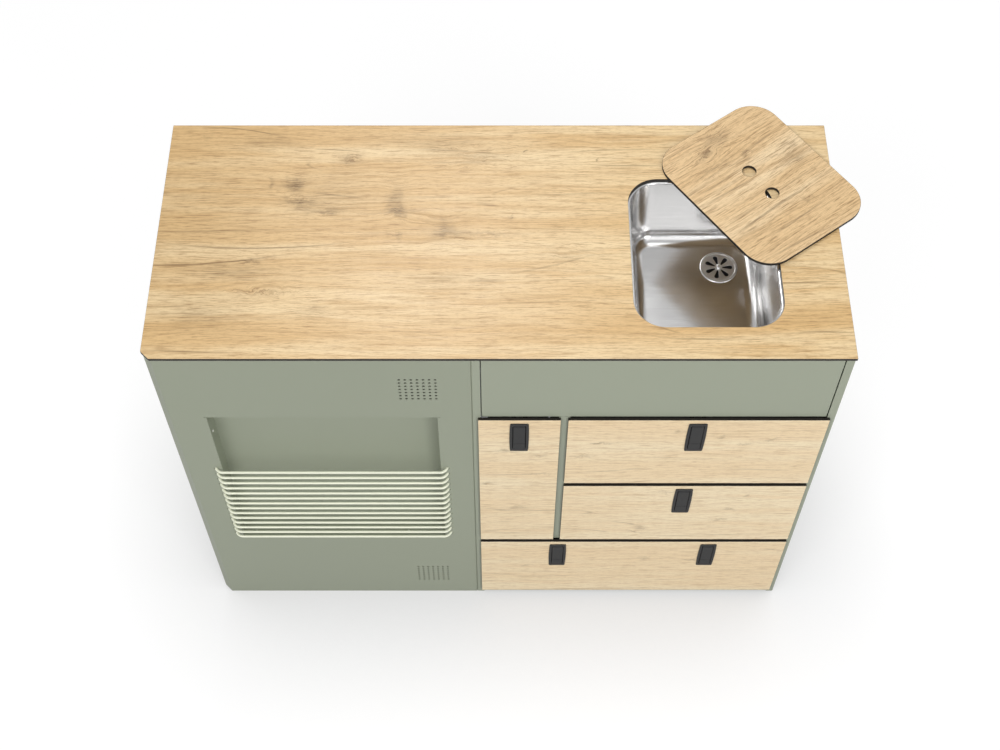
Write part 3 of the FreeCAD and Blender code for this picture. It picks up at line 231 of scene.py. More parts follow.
def cutAway(piece, cutter):
    name = piece.name + "Cutter"
    tool = addObject(name, meshFrom(cutter, name))
    piece.modifiers.clear()
    boolean = piece.modifiers.new("cut", "BOOLEAN")
    boolean.operation = "DIFFERENCE"
    boolean.solver = "EXACT"
    boolean.object = tool
    bpy.context.view_layer.update()
    shaped = bpy.data.meshes.new_from_object(piece.evaluated_get(bpy.context.evaluated_depsgraph_get()))
    piece.modifiers.remove(boolean)
    piece.data = shaped
    bpy.data.objects.remove(tool)
    smoothPiece(piece)


def punch(cutter, ring, span):
    # the tool of a hole through the front, with how far forward it starts and ends
    addPlate(cutter, [ring], *span, 0, 1, frontPlane())


# node helpers

def feed(tree, node, values):
    for key, value in values.items():
        if isinstance(value, bpy.types.NodeSocket):
            tree.links.new(value, node.inputs[key])
        else:
            node.inputs[key].default_value = value


def addNode(tree, kind, feeds={}, **settings):
    node = tree.nodes.new("ShaderNode" + kind)
    for key, value in settings.items():
        setattr(node, key, value)
    feed(tree, node, feeds)
    return node


def sums(tree, operation, *values):
    return addNode(tree, "Math", dict(enumerate(values)), operation=operation).outputs[0]


def sumsIn(tree, *operations):
    return [partial(sums, tree, operation) for operation in operations]


def newGroup(name, inputs, outputs):
    # an input's default gives its kind: one number a value, three a vector, four a colour
    group = bpy.data.node_groups.new(name, "ShaderNodeTree")
    kinds = {1: "NodeSocketFloat", 3: "NodeSocketVector", 4: "NodeSocketColor"}
    for label, default in inputs.items():
        kind = kinds[len(default) if isinstance(default, tuple) else 1]
        socket = group.interface.new_socket(name=label, in_out="INPUT", socket_type=kind)
        socket.default_value = default
    for label in outputs:
        kind = kinds[4 if label == "Color" else 1]
        group.interface.new_socket(name=label, in_out="OUTPUT", socket_type=kind)
    return group, group.nodes.new("NodeGroupInput").outputs, group.nodes.new("NodeGroupOutput")


def useGroup(tree, group, feeds):
    return addNode(tree, "Group", feeds, node_tree=group).outputs


def noiseOf(tree, point, scale, detail, roughness=0.5):
    return addNode(tree, "TexNoise", {"Vector": point, "Scale": scale, "Detail": detail,
                                      "Roughness": roughness}).outputs


def spread(tree, value, low, high, toLow=0, toHigh=1, kind="LINEAR"):
    return addNode(tree, "MapRange", {"Value": value, "From Min": low, "From Max": high, "To Min": toLow,
                                      "To Max": toHigh}, interpolation_type=kind).outputs[0]


def ramp(tree, factor, stops):
    node = addNode(tree, "ValToRGB", {0: factor})
    points = node.color_ramp.elements
    while len(points) < len(stops):
        points.new(0.5)
    for point, (place, colour) in zip(points, stops):
        point.position = place
        point.color = (*colour, 1)
    return node.outputs[0]


def shade(*rgb):
    # screen colour, 0 to 255, as the linear colour that a shader takes
    return tuple(((c / 255 + 0.055) / 1.055) ** 2.4 if c > 10 else c / 255 / 12.92 for c in rgb)


def newMaterial(name):
    material = bpy.data.materials.new(name)
    material.use_nodes = True
    tree = material.node_tree
    return material, tree, tree.nodes["Principled BSDF"]


def objectPoint(tree):
    return addNode(tree, "TexCoord").outputs["Object"]


def bump(tree, shader, height, strength, depth):
    node = addNode(tree, "Bump", {"Strength": strength, "Distance": depth * mm, "Height": height})
    tree.links.new(node.outputs[0], shader.inputs["Normal"])


# shared effects

oakLook = {
    "knotFall": 0.8, "bend": 0.03, "arcRate": 520, "arcSwirl": 34, "arcDepth": 0.16,
    "crack": 0.007, "crackDepth": 0.45, "smudgeFloor": 0.4, "lineFloor": 0.35,
    # where a layer's noise begins to count and where it counts in full
    "arcSpan": (0.1, 1), "arcPatch": (0.4, 0.6), "crackPatch": (0.5, 0.66), "gritSpan": (0.3, 0.7),
    # noise that tears the knots' edges: scale, detail, roughness, reach
    "knotEdge": (42, 3, 0.6, 40),
    # how far the polish falls and rises with the streaks, and the strength and depth of the pores
    "wear": (-0.04, 0.1), "relief": (0.12, 0.2),
    # the noise of each layer: rate along, rate across, detail, roughness and where it starts
    "wave": (1.7, 6, 2, 0.4, 3), "boards": (0.8, 13, 3, 0.5, 11), "patches": (3.4, 34, 3, 0.55, 23),
    "streaks": (6, 200, 4, 0.7, 37), "dashes": (24, 430, 3, 0.62, 41), "pores": (75, 1000, 2, 0.6, 53),
    "swirl": (2.6, 9, 1, 0.4, 61), "cracks": (1.3, 10, 2, 0.45, 71), "height": (17, 700, 2, 0.6, 83),
    # how a layer stains: it starts, is full, and its depth
    "stains": {"boards": (0.38, 0.62, 0.85), "patches": (0.46, 0.72, 0.8), "streaks": (0.5, 0.76, 0.5),
               "dashes": (0.5, 0.68, 0.55), "pores": (0.5, 0.7, 0.4)},
}


def makeKnotGroup():
    # a smudge that darkens the grain and pushes its lines apart
    group, given, leave = newGroup("oakKnot", {
        "Along": 0, "Across": 0, "Along Rate": 20, "Along Shift": 0, "Across Rate": 80,
        "Across Shift": 0, "Push": 0, "Dark": 0, "Push Before": 0, "Dark Before": 0}, ("Push", "Dark"))
    times, timesPlus = sumsIn(group, "MULTIPLY", "MULTIPLY_ADD")
    along = timesPlus(given["Along"], given["Along Rate"], given["Along Shift"])
    across = timesPlus(given["Across"], given["Across Rate"], given["Across Shift"])
    square = timesPlus(along, along, times(across, across))
    swell = sums(group, "EXPONENT", times(square, -oakLook["knotFall"]))
    feed(group, leave, {
        "Push": timesPlus(times(swell, across), given["Push"], given["Push Before"]),
        "Dark": timesPlus(times(swell, swell), given["Dark"], given["Dark Before"])})
    return group


def makeCrackGroup():
    # one long thin dark line, sloped and bowed, that fades out at both ends
    group, given, leave = newGroup("oakCrack", {
        "Along": 0, "Across": 0, "Along Rate": 10, "Along Shift": 0, "Across Rate": 700,
        "Across Shift": 0, "Slope": 0, "Bow": 0, "Dark": 0, "Dark Before": 0}, ("Dark",))
    times, timesPlus = sumsIn(group, "MULTIPLY", "MULTIPLY_ADD")
    share = timesPlus(given["Along"], given["Along Rate"], given["Along Shift"])
    square = times(share, share)
    away = timesPlus(given["Across"], given["Across Rate"], given["Across Shift"])
    away = timesPlus(share, given["Slope"], away)
    away = timesPlus(square, given["Bow"], away)
    line = sums(group, "EXPONENT", times(times(away, away), -1))
    fade = sums(group, "MAXIMUM", sums(group, "SUBTRACT", 1, square), 0)
    feed(group, leave, {"Dark": timesPlus(times(line, fade), given["Dark"], given["Dark Before"])})
    return group


def makeOakGroup():
    # the grain runs along one way, and waves and knots shift its lines across the other
    group, given, leave = newGroup("oakGrain", {
        "Along": 0, "Across": 0, "Push": 0, "Dark": 0, "Line": 0, "Pale": (0.8, 0.6, 0.4, 1),
        "Warm": (0.7, 0.5, 0.3, 1), "Deep": (0.4, 0.26, 0.13, 1), "Smoke": (0.3, 0.24, 0.17, 1),
        "Streaks": 1, "Arcs": 1, "Seed": 0}, ("Color", "Height", "Wear"))
    times, plus, minus = sumsIn(group, "MULTIPLY", "ADD", "SUBTRACT")

    def noise(name, across=given["Across"]):
        alongRate, acrossRate, detail, roughness, begin = oakLook[name]
        point = addNode(group, "CombineXYZ", {
            0: times(given["Along"], alongRate), 1: times(across, acrossRate),
            2: plus(given["Seed"], begin)}).outputs[0]
        return noiseOf(group, point, 1, detail, roughness)[0]

    def band(value, span):
        return spread(group, value, *span, kind="SMOOTHSTEP")

    # the float and colour sockets of Mix share their names, so they are set by place
    def blend(share, one, two):
        return addNode(group, "Mix", {0: share, 6: one, 7: two}, data_type="RGBA").outputs[2]

    def stain(name, one, two, strength=1):
        *span, depth = oakLook["stains"][name]
        return blend(times(times(band(layers[name], span), depth), strength), one, two)

    bend = times(minus(noise("wave"), 0.5), oakLook["bend"])
    grain = plus(plus(given["Across"], bend), given["Push"])
    layers = {name: noise(name, grain) for name in oakLook["stains"]}
    arcs = sums(group, "SINE", plus(times(grain, oakLook["arcRate"]),
                                    times(noise("swirl"), oakLook["arcSwirl"])))
    arcs = times(band(arcs, oakLook["arcSpan"]), band(layers["patches"], oakLook["arcPatch"]))
    colour = stain("boards", given["Pale"], given["Warm"])
    colour = stain("patches", colour, given["Warm"])
    colour = blend(times(times(arcs, oakLook["arcDepth"]), given["Arcs"]), colour, given["Deep"])
    for name in ("streaks", "dashes", "pores"):
        colour = stain(name, colour, given["Deep"], given["Streaks"])
    grit = band(layers["dashes"], oakLook["gritSpan"])
    smudge = times(given["Dark"], plus(grit, oakLook["smudgeFloor"]))
    colour = blend(sums(group, "MINIMUM", smudge, 1), colour, given["Smoke"])
    thin = band(sums(group, "ABSOLUTE", minus(noise("cracks"), 0.5)), (0, oakLook["crack"]))
    cracks = times(minus(1, thin), band(layers["patches"], oakLook["crackPatch"]))
    line = times(given["Line"], plus(band(layers["streaks"], oakLook["gritSpan"]), oakLook["lineFloor"]))
    lines = sums(group, "MINIMUM", plus(times(cracks, oakLook["crackDepth"]), line), 1)
    feed(group, leave, {"Color": blend(lines, colour, given["Smoke"]), "Height": noise("height"),
                        "Wear": layers["streaks"]})
    return group


coatLook = {"drift": 3.5, "driftShare": 0.8, "rough": 0.44, "roughDrift": 0.14, "depth": 0.3}


def makeCoatGroup():
    # fine orange peel of a powder coat, and a slow change of tone
    group, given, leave = newGroup("powderPeel", {
        "Vector": (0, 0, 0), "Scale": 900, "Color": (0.3, 0.3, 0.3, 1), "Amount": 0.06},
        ("Color", "Height", "Roughness"))
    times, plus, minus = sumsIn(group, "MULTIPLY", "ADD", "SUBTRACT")
    fine = noiseOf(group, given["Vector"], given["Scale"], 2)[0]
    slow = noiseOf(group, given["Vector"], coatLook["drift"], 2)[0]
    speck = times(minus(fine, 0.5), given["Amount"])
    drift = times(minus(slow, 0.5), times(given["Amount"], coatLook["driftShare"]))
    value = plus(1, plus(speck, drift))
    tone = addNode(group, "HueSaturation", {"Value": value, "Color": given["Color"]}).outputs[0]
    feed(group, leave, {"Color": tone, "Height": fine,
                        "Roughness": plus(coatLook["rough"], times(slow, coatLook["roughDrift"]))})
    return group


brushLook = {"detail": 3, "roughness": 0.6, "blotch": 14, "lineShare": 0.65, "span": (0.3, 0.7),
             "shadow": 0.88, "depth": 0.2}


def makeBrushGroup():
    # long fine scratches along one way, with broad blotches of polish
    group, given, leave = newGroup("brushedLines", {
        "Vector": (0, 0, 0), "Stretch": (8, 900, 900), "Rough Low": 0.22, "Rough High": 0.36},
        ("Height", "Roughness", "Tone"))
    times, plus = sumsIn(group, "MULTIPLY", "ADD")
    point = addNode(group, "VectorMath", {0: given["Vector"], 1: given["Stretch"]},
                    operation="MULTIPLY").outputs[0]
    lines = noiseOf(group, point, 1, brushLook["detail"], brushLook["roughness"])[0]
    blotch = noiseOf(group, given["Vector"], brushLook["blotch"], 2)[0]
    share = brushLook["lineShare"]
    both = plus(times(lines, share), times(blotch, 1 - share))
    rough = spread(group, both, *brushLook["span"], given["Rough Low"], given["Rough High"])
    feed(group, leave, {"Height": lines, "Roughness": rough, "Tone": both})
    return group


knotGroup = makeKnotGroup()
crackGroup = makeCrackGroup()
oakGroup = makeOakGroup()
coatGroup = makeCoatGroup()
brushGroup = makeBrushGroup()
print("node groups made")


# materials

topOak = {
    "pale": shade(241, 214, 166), "warm": shade(222, 184, 126), "deep": shade(152, 110, 60),
    "smoke": shade(124, 95, 54), "streaks": 1.0, "arcs": 1.0, "roughness": 0.33, "seed": 0.0,
}
# the same oak laminate as the top, made paler and brighter as painted light on the upright fronts, which get
# less light than the top
frontOakLitCopy = {
    "pale": shade(248, 230, 194), "warm": shade(243, 218, 177), "deep": shade(196, 162, 118),
    "smoke": shade(152, 126, 92), "streaks": 1.2, "arcs": 0.5, "roughness": 0.45, "seed": 4.0,
}
lidOak = {
    "pale": shade(245, 219, 176), "warm": shade(230, 195, 144), "deep": shade(138, 100, 56),
    "smoke": shade(122, 96, 66), "streaks": 1.2, "arcs": 1.2, "roughness": 0.42, "seed": 9.0,
}


def makeOak(name, acrossAxis, look, knots, cracks, turn=0.0, centre=(0, 0)):
    material, tree, shader = newMaterial(name)
    point = objectPoint(tree)
    if turn:
        middle = (centre[0] * mm, centre[1] * mm, 0)
        turned = {"Vector": point, "Center": middle, "Angle": math.radians(turn)}
        point = addNode(tree, "VectorRotate", turned, rotation_type="Z_AXIS").outputs[0]
    parts = addNode(tree, "SeparateXYZ", {0: point}).outputs
    along, across = parts[0], parts[acrossAxis]
    scale, detail, roughness, reach = oakLook["knotEdge"]
    ragged = noiseOf(tree, point, scale, detail, roughness)[1]
    shift = addNode(tree, "VectorMath", {0: ragged, 1: (-0.5, -0.5, -0.5)}, operation="ADD").outputs[0]
    shift = addNode(tree, "VectorMath", {0: shift, "Scale": reach * mm}, operation="SCALE").outputs[0]
    torn = addNode(tree, "VectorMath", {0: point, 1: shift}, operation="ADD").outputs[0]
    torn = addNode(tree, "SeparateXYZ", {0: torn}).outputs
    push, dark, line = 0.0, 0.0, 0.0
    for x, y, length, width, swell, depth in knots:
        out = useGroup(tree, knotGroup, {
            "Along": torn[0], "Across": torn[acrossAxis], "Along Rate": 1 / (length * mm),
            "Along Shift": -x / length, "Across Rate": 1 / (width * mm), "Across Shift": -y / width,
            "Push": swell * mm, "Dark": depth, "Push Before": push, "Dark Before": dark})
        push, dark = out["Push"], out["Dark"]
    for x, y, half, slope, bow, width, depth in cracks:
        line = useGroup(tree, crackGroup, {
            "Along": along, "Across": across, "Along Rate": 1 / (half * mm), "Along Shift": -x / half,
            "Across Rate": 1 / (width * mm), "Across Shift": -y / width, "Slope": -slope / width,
            "Bow": -bow / width, "Dark": depth, "Dark Before": line})["Dark"]
    feeds = {"Along": along, "Across": across, "Push": push, "Dark": dark, "Line": line}
    for key in ("Pale", "Warm", "Deep", "Smoke"):
        feeds[key] = (*look[key.lower()], 1)
    for key in ("Streaks", "Arcs", "Seed"):
        feeds[key] = look[key.lower()]
    grain = useGroup(tree, oakGroup, feeds)
    low, high = (look["roughness"] + wear for wear in oakLook["wear"])
    feed(tree, shader, {"Base Color": grain["Color"],
                        "Roughness": spread(tree, grain["Wear"], *oakLook["gritSpan"], low, high)})
    bump(tree, shader, grain["Height"], *oakLook["relief"])
    return material


def makeCoat(name, colour, scale=900, amount=0.06, peel=0.12, roughness=None):
    material, tree, shader = newMaterial(name)
    coat = useGroup(tree, coatGroup, {"Vector": objectPoint(tree), "Scale": scale,
                                      "Color": (*colour, 1), "Amount": amount})
    rough = coat["Roughness"] if roughness is None else roughness
    feed(tree, shader, {"Base Color": coat["Color"], "Roughness": rough})
    bump(tree, shader, coat["Height"], peel, coatLook["depth"])
    return material


def makeBrushed(name, colour, stretch, low, high, lines=0.05):
    material, tree, shader = newMaterial(name)
    brush = useGroup(tree, brushGroup, {"Vector": objectPoint(tree), "Stretch": stretch,
                                        "Rough Low": low, "Rough High": high})
    dark = [level * brushLook["shadow"] for level in colour]
    tone = ramp(tree, brush["Tone"], list(zip(brushLook["span"], (dark, colour))))
    feed(tree, shader, {"Base Color": tone, "Roughness": brush["Roughness"], "Metallic": 1})
    bump(tree, shader, brush["Height"], lines, brushLook["depth"])
    return material


# knots: along, across, length, width, push, darkness
worktopKnots = [
    (-367, 116, 22, 18, 8, 0.75), (-356, 74, 34, 12, 9, 0.7), (-308, 56, 46, 9, 5, 0.45),
    (-184, 84, 18, 40, 10, 0.45), (-176, 56, 30, 11, 6, 0.6), (-269, 177, 24, 14, -9, 0.4),
    (-409, 118, 7, 16, 3, 0.45), (-434, -55, 18, 6, 4, 0.55), (-535, 228, 10, 9, 3, 0.35),
    (-320, -159, 34, 14, 7, 0.2), (-92, 13, 34, 24, 12, 0.5), (-26, 6, 60, 7, 4, 0.35),
    (21, 40, 6, 5, 3, 0.7), (-40, 181, 78, 15, 14, 0.22), (47, 188, 5, 3, 2, 0.8),
    (181, 176, 4, 3, 2, 0.6), (126, -40, 56, 14, 9, 0.2), (-401, -119, 60, 16, -12, 0.12),
    # entries with no push are not knots but broad faint darkenings, mostly on the left half of the top
    (-180, 1, 14, 7, 4, 0.4), (480, -60, 60, 12, 8, 0.2), (-560, 40, 190, 280, 0, 0.2),
    (-420, 215, 70, 24, 0, 0.25), (-470, -75, 90, 18, 0, 0.3), (-300, 95, 70, 60, 0, 0.2),
    (-120, 215, 120, 22, 0, 0.25), (-510, -170, 80, 40, 0, 0.25), (-80, -95, 90, 14, 0, 0.15),
]
# cracks: along, across, half length, slope, bow, width, darkness
worktopCracks = [
    (-470, 246, 90, -14, -8, 1.4, 0.8), (-292, 197, 46, -3, -2, 1.3, 0.8), (-292, 92, 54, -7, 0, 1.5, 0.6),
    (-465, 12, 150, 3, 0, 2.4, 0.45), (-420, -26, 190, 2, 16, 1.5, 0.75), (-492, -58, 126, 12, 8, 1.6, 0.9),
    (206, 197, 96, 4, -3, 1.7, 0.55), (235, 160, 66, 0, 0, 1.7, 0.6), (98, -62, 76, 22, 4, 1.8, 0.45),
    (-76, 195, 90, -7, -3, 1.6, 0.5), (-68, 167, 90, 2, 6, 1.6, 0.5), (330, -216, 70, -2, 2, 1.5, 0.6),
    (-516, -242, 80, -2, 2, 1.8, 0.6), (550, -201, 50, -1, -2, 1.6, 0.6), (-20, -96, 34, 0, 0, 1.8, 0.6),
    (60, -141, 90, 3, 2, 1.5, 0.3), (520, -100, 60, 3, 2, 1.7, 0.5), (-120, 88, 50, 0, 1, 1.4, 0.35),
    (150, 96, 90, 4, -2, 1.4, 0.35), (-560, -150, 40, 2, 2, 1.6, 0.5),
]
frontKnots = [
    (13, 633, 22, 8, 5, 0.55), (78, 616, 14, 9, 4, 0.3), (38, 407, 26, 11, 6, 0.35),
    (-23, 508, 12, 7, 4, 0.5), (178, 663, 11, 4, 3, 0.7), (200, 664, 20, 3, 2, 0.35),
    (159, 621, 16, 5, 4, 0.35), (323, 706, 14, 5, 3, 0.45), (406, 692, 14, 5, 3, 0.45),
    (450, 663, 16, 5, 3, 0.45), (495, 677, 18, 5, 4, 0.5), (455, 403, 16, 5, 4, 0.45),
    (441, 355, 20, 5, 4, 0.4), (284, 324, 13, 11, 5, 0.45), (276, 302, 22, 4, 3, 0.5),
    (59, 144, 13, 6, 4, 0.5), (306, 179, 12, 8, 4, 0.35), (399, 169, 20, 6, 4, 0.4),
    (562, 217, 22, 5, 4, 0.4), (330, 470, 30, 4, 3, 0.3), (70, 545, 40, 3, 2, 0.3),
]
frontCracks = [
    (210, 560, 70, 10, 4, 2.0, 0.35), (20, 545, 70, 3, 3, 2.0, 0.35), (190, 25, 200, 6, -4, 2.0, 0.45),
    (420, 288, 120, 5, 0, 2.0, 0.4), (330, 610, 80, -4, 2, 1.8, 0.3), (500, 120, 70, 3, 2, 1.8, 0.35),
    (40, 300, 60, 3, -2, 1.8, 0.35), (480, 566, 80, -5, 3, 2.0, 0.35), (110, 90, 80, 4, 2, 1.8, 0.3),
]
lid = {
    "centre": (469.8, 117.2), "turn": 36.2, "half": (127.25, 157.25), "corner": 53.25,
    "holes": ((0, -31), (0, 31)), "holeRadius": 12.5, "edge": 0.5,
}
lidKnots = [
    (469, 240, 34, 14, 12, 0.5), (433, 220, 26, 12, -8, 0.45), (426, 190, 40, 9, 6, 0.4),
    (493, 181, 17, 6, 4, 0.65), (557, 125, 34, 20, 9, 0.4), (570, 156, 14, 12, 4, 0.35),
    (511, 38, 10, 6, 4, 0.45), (400, 40, 60, 12, 5, 0.2),
]
lidCracks = [
    (458, 60, 88, 3, -3, 2.2, 0.75), (415, 134, 66, -4, -3, 1.8, 0.4), (402, 81, 36, 0, 0, 2.0, 0.5),
    (456, -26, 84, -8, -3, 2.0, 0.5), (520, 84, 60, 2, 0, 1.6, 0.4), (470, 16, 70, 1, 0, 1.8, 0.45),
    (420, 160, 60, 3, 2, 1.6, 0.4), (530, 190, 50, 2, -2, 1.8, 0.4), (440, 100, 60, 0, 2, 1.5, 0.35),
]
oakTop = makeOak("oakTop", 1, topOak, worktopKnots, worktopCracks)
# the fronts' oak is a brightened copy of the top's oak, which is painted light
oakFrontPaintedLight = makeOak("oakFrontPaintedLight", 2, frontOakLitCopy, frontKnots, frontCracks)
oakLid = makeOak("oakLid", 1, lidOak, lidKnots, lidCracks, -lid["turn"], lid["centre"])
boardCore = makeCoat("boardCore", shade(30, 25, 19), scale=1500, amount=0.3, peel=0.1, roughness=0.6)
sage = makeCoat("sagePowderCoat", shade(155, 161, 142))
# a darker copy of the same sage powder coat, as painted shade on the left cover, its base and the recess
# tray
sageShadedCopy = makeCoat("sagePaintedShadeLeft", shade(150, 156, 137))
rodCoat = makeCoat("rodCoat", shade(246, 248, 226), scale=600, amount=0.02, peel=0.04, roughness=0.32)
trayGrey = makeCoat("trayGrey", shade(96, 99, 97))
latchPlastic = makeCoat("latchPlastic", shade(14, 14, 15), scale=1800, amount=0.12, peel=0.2, roughness=0.6)
# a black sheet behind the vent holes and in the fascia's side gaps, painted shade
paintedShadeBlack = makeCoat("paintedShadeSheets", shade(16, 17, 15), scale=2500, amount=0.5, peel=0.4, roughness=0.95)
# dark grey, darker than the waste's own grey, as painted shade in the cup under the strainer; the nut shares
# it
wastePlasticPaintedShade = makeCoat("wastePlasticPaintedShade", shade(52, 53, 55), scale=800, amount=0.05, peel=0.05, roughness=0.35)
sinkSteel = makeBrushed("sinkSteel", (0.86, 0.855, 0.85), (14, 700, 700), 0.15, 0.24, 0.01)
drainSteel = makeBrushed("drainSteel", (0.88, 0.88, 0.88), (60, 60, 60), 0.3, 0.4, 0.03)
brightSteel = makeBrushed("brightSteel", (0.62, 0.63, 0.65), (300, 12, 300), 0.26, 0.42)
rivetMetal = makeBrushed("rivetMetal", (0.93, 0.93, 0.9), (90, 90, 90), 0.5, 0.65)
print("materials made")


# worktop, lid and fronts

worktop = {"front": -256, "back": 256, "chamfer": 15, "softening": 4, "corner": 1, "edge": 0.3}
sink = {"x": 359.5, "y": -31.75, "half": (129, 160.25), "corner": 55}


def makeWorktop():
    shape = bmesh.new()
    left, right, soft, corner = unit["left"], unit["right"], worktop["softening"], worktop["corner"]
    front, back, cut = worktop["front"], worktop["back"], worktop["chamfer"]
    outline = roundedRing([(left + cut, front, soft), (right, front, corner), (right, back, corner),
                           (left, back, corner), (left, front + cut, soft)])
    (halfX, halfY), x, y = sink["half"], sink["x"], sink["y"]
    mouth = boxRing(x - halfX, x + halfX, y - halfY, y + halfY, sink["corner"], 20)
    addPlate(shape, [outline, hole(mouth)], sheetTop, unit["top"], worktop["edge"], 2, edgeFinish=1)
    finishPiece("worktopBoard", shape, [oakTop, boardCore], "root", ["worktop"])


def makeLid():
    shape = bmesh.new()
    halfX, halfY = lid["half"]
    outline = boxRing(-halfX, halfX, -halfY, halfY, lid["corner"], 20)
    holes = [hole(circleRing(x, y, lid["holeRadius"], 48)) for x, y in lid["holes"]]
    place = Matrix.Translation((*lid["centre"], 0)) @ Matrix.Rotation(math.radians(lid["turn"]), 4, "Z")
    top = unit["top"] + unit["board"]
    addPlate(shape, [outline, *holes], unit["top"], top, lid["edge"], 2, place, edgeFinish=1)
    finishPiece("lidBoard", shape, [oakLid, boardCore], "lid", ["sink_lid"])


# x and z of each front, and the x and z of the middle of each latch
fronts = {
    "narrow": {"x": (-37, 111), "z": (268, 748), "latches": {"narrow": 37}, "latchZ": 688},
    "top": {"x": (124, 590), "z": (511, 748), "latches": {"top": 357}, "latchZ": 688},
    "middle": {"x": (124, 590), "z": (268, 499.5), "latches": {"middle": 357}, "latchZ": 439.5},
    "bottom": {"x": (-37, 590), "z": (18, 256.5),
               "latches": {"bottom_left": 121.5, "bottom_right": 431.5}, "latchZ": 196.5},
}
frontBoard = {"span": (250, 256), "corner": 0.8, "edge": 0.4}
latch = {
    "face": -256, "bezel": (33, 97), "bow": 1.2, "stand": 2, "corner": 2.6, "bezelEdge": 0.7,
    "housing": (29, 90), "housingCorner": 1, "depth": 24, "wall": 1.5, "holeGap": 0.3,
    "pocket": (24, 81.6), "pocketMiddle": 1.9, "pocketCorner": 1.5,
    "paddle": (22, 80), "paddleThickness": 3, "paddleStand": 2.6, "paddleCorner": 0.6,
    "seam": 18, "groove": 0.5, "grooveCorner": 0.4, "grooveFloor": (1, 3, 0.7), "footRadius": 90,
    "hinge": (2.4, 36.9), "barrel": 5, "barrelEdge": 0.6, "arm": (5, 14, 3),
    "bolt": {"width": 12, "y": (12.4, 17.4), "gap": 0.4, "guide": (2, 10), "slot": (38, 60)},
}


def makeFronts():
    wide, tall = (size / 2 + latch["holeGap"] for size in latch["housing"])
    for row, front in fronts.items():
        shape = bmesh.new()
        z = front["latchZ"]
        rings = [boxRing(*front["x"], *front["z"], frontBoard["corner"], 3)]
        rings += [hole(boxRing(x - wide, x + wide, z - tall, z + tall)) for x in front["latches"].values()]
        addPlate(shape, rings, *frontBoard["span"], frontBoard["edge"], 2, frontPlane(), edgeFinish=1)
        finishPiece(row + "FrontBoard", shape, [oakFrontPaintedLight, boardCore], row + "_drawer",
                    [row + "_front"])


makeWorktop()
makeLid()
makeFronts()
print("boards made")


# latches: bezel and housing, and the paddle that lifts about its top edge

def bowedRing(width, height, bow, corner):
    radius = (height * height / 4 + bow * bow) / (2 * bow)
    swing = math.asin((height / 2 - corner) / radius)
    side = width / 2 + bow - radius
    right = arcPoints((side, 0), radius, -swing, swing, 12)
    points = []
    for turnX, turnY in ((1, 1), (-1, -1)):
        arc = [(x * turnX, y * turnY) for x, y in right]
        points += arc
        start = arc[-1]
        middle = (start[0] - corner * turnX, start[1])
        first = 0 if turnX > 0 else math.pi
        points += arcPoints(middle, corner, first, first + math.pi / 2, 5)[1:]
        other = (-points[-1][0], points[-1][1])
        last = (other[0], other[1] - corner * turnY)
        points += arcPoints(last, corner, first + math.pi / 2, first + math.pi, 5)[:-1]
    return points


def makeHousings():
    bolt, gap, wall = latch["bolt"], latch["bolt"]["gap"], latch["wall"]
    pocketX, pocketZ = (size / 2 for size in latch["pocket"])
    middle, back = latch["pocketMiddle"], -latch["depth"]
    pocket = boxRing(-pocketX, pocketX, middle - pocketZ, middle + pocketZ, latch["pocketCorner"], 4)
    bezel = bowedRing(*latch["bezel"], latch["bow"], latch["corner"])
    wide, tall = (size / 2 for size in latch["housing"])
    body = boxRing(-wide, wide, -tall, tall, latch["housingCorner"], 3)
    half = bolt["width"] / 2 + gap
    y0, y1 = bolt["y"][0] - gap, bolt["y"][1] + gap
    guide = boxRing(-half - wall, half + wall, y0 - wall, latch["depth"] - wall)
    for row, front in fronts.items():
        shape = bmesh.new()
        cutter = bmesh.new()
        for x in front["latches"].values():
            place = frontPlane(x, latch["face"], front["latchZ"])
            addPlate(shape, [bezel, hole(pocket)], 0, latch["stand"], latch["bezelEdge"], 3, place)
            addPlate(shape, [body, hole(pocket)], back + wall, 0, 0, 1, place)
            addPlate(shape, [body], back, back + wall, 0.3, 2, place)
            upright = Matrix.Translation((x, latch["face"], front["latchZ"]))
            addPlate(shape, [guide, hole(boxRing(-half, half, y0, y1))], *bolt["guide"], 0.2, 1, upright)
            addBlock(cutter, (-half, half), (y0, y1), bolt["slot"], 0, upright)
        piece = finishPiece(row + "LatchHousing", shape, [latchPlastic], row + "_drawer",
                            [row + "_latch_housing"])
        cutAway(piece, cutter)


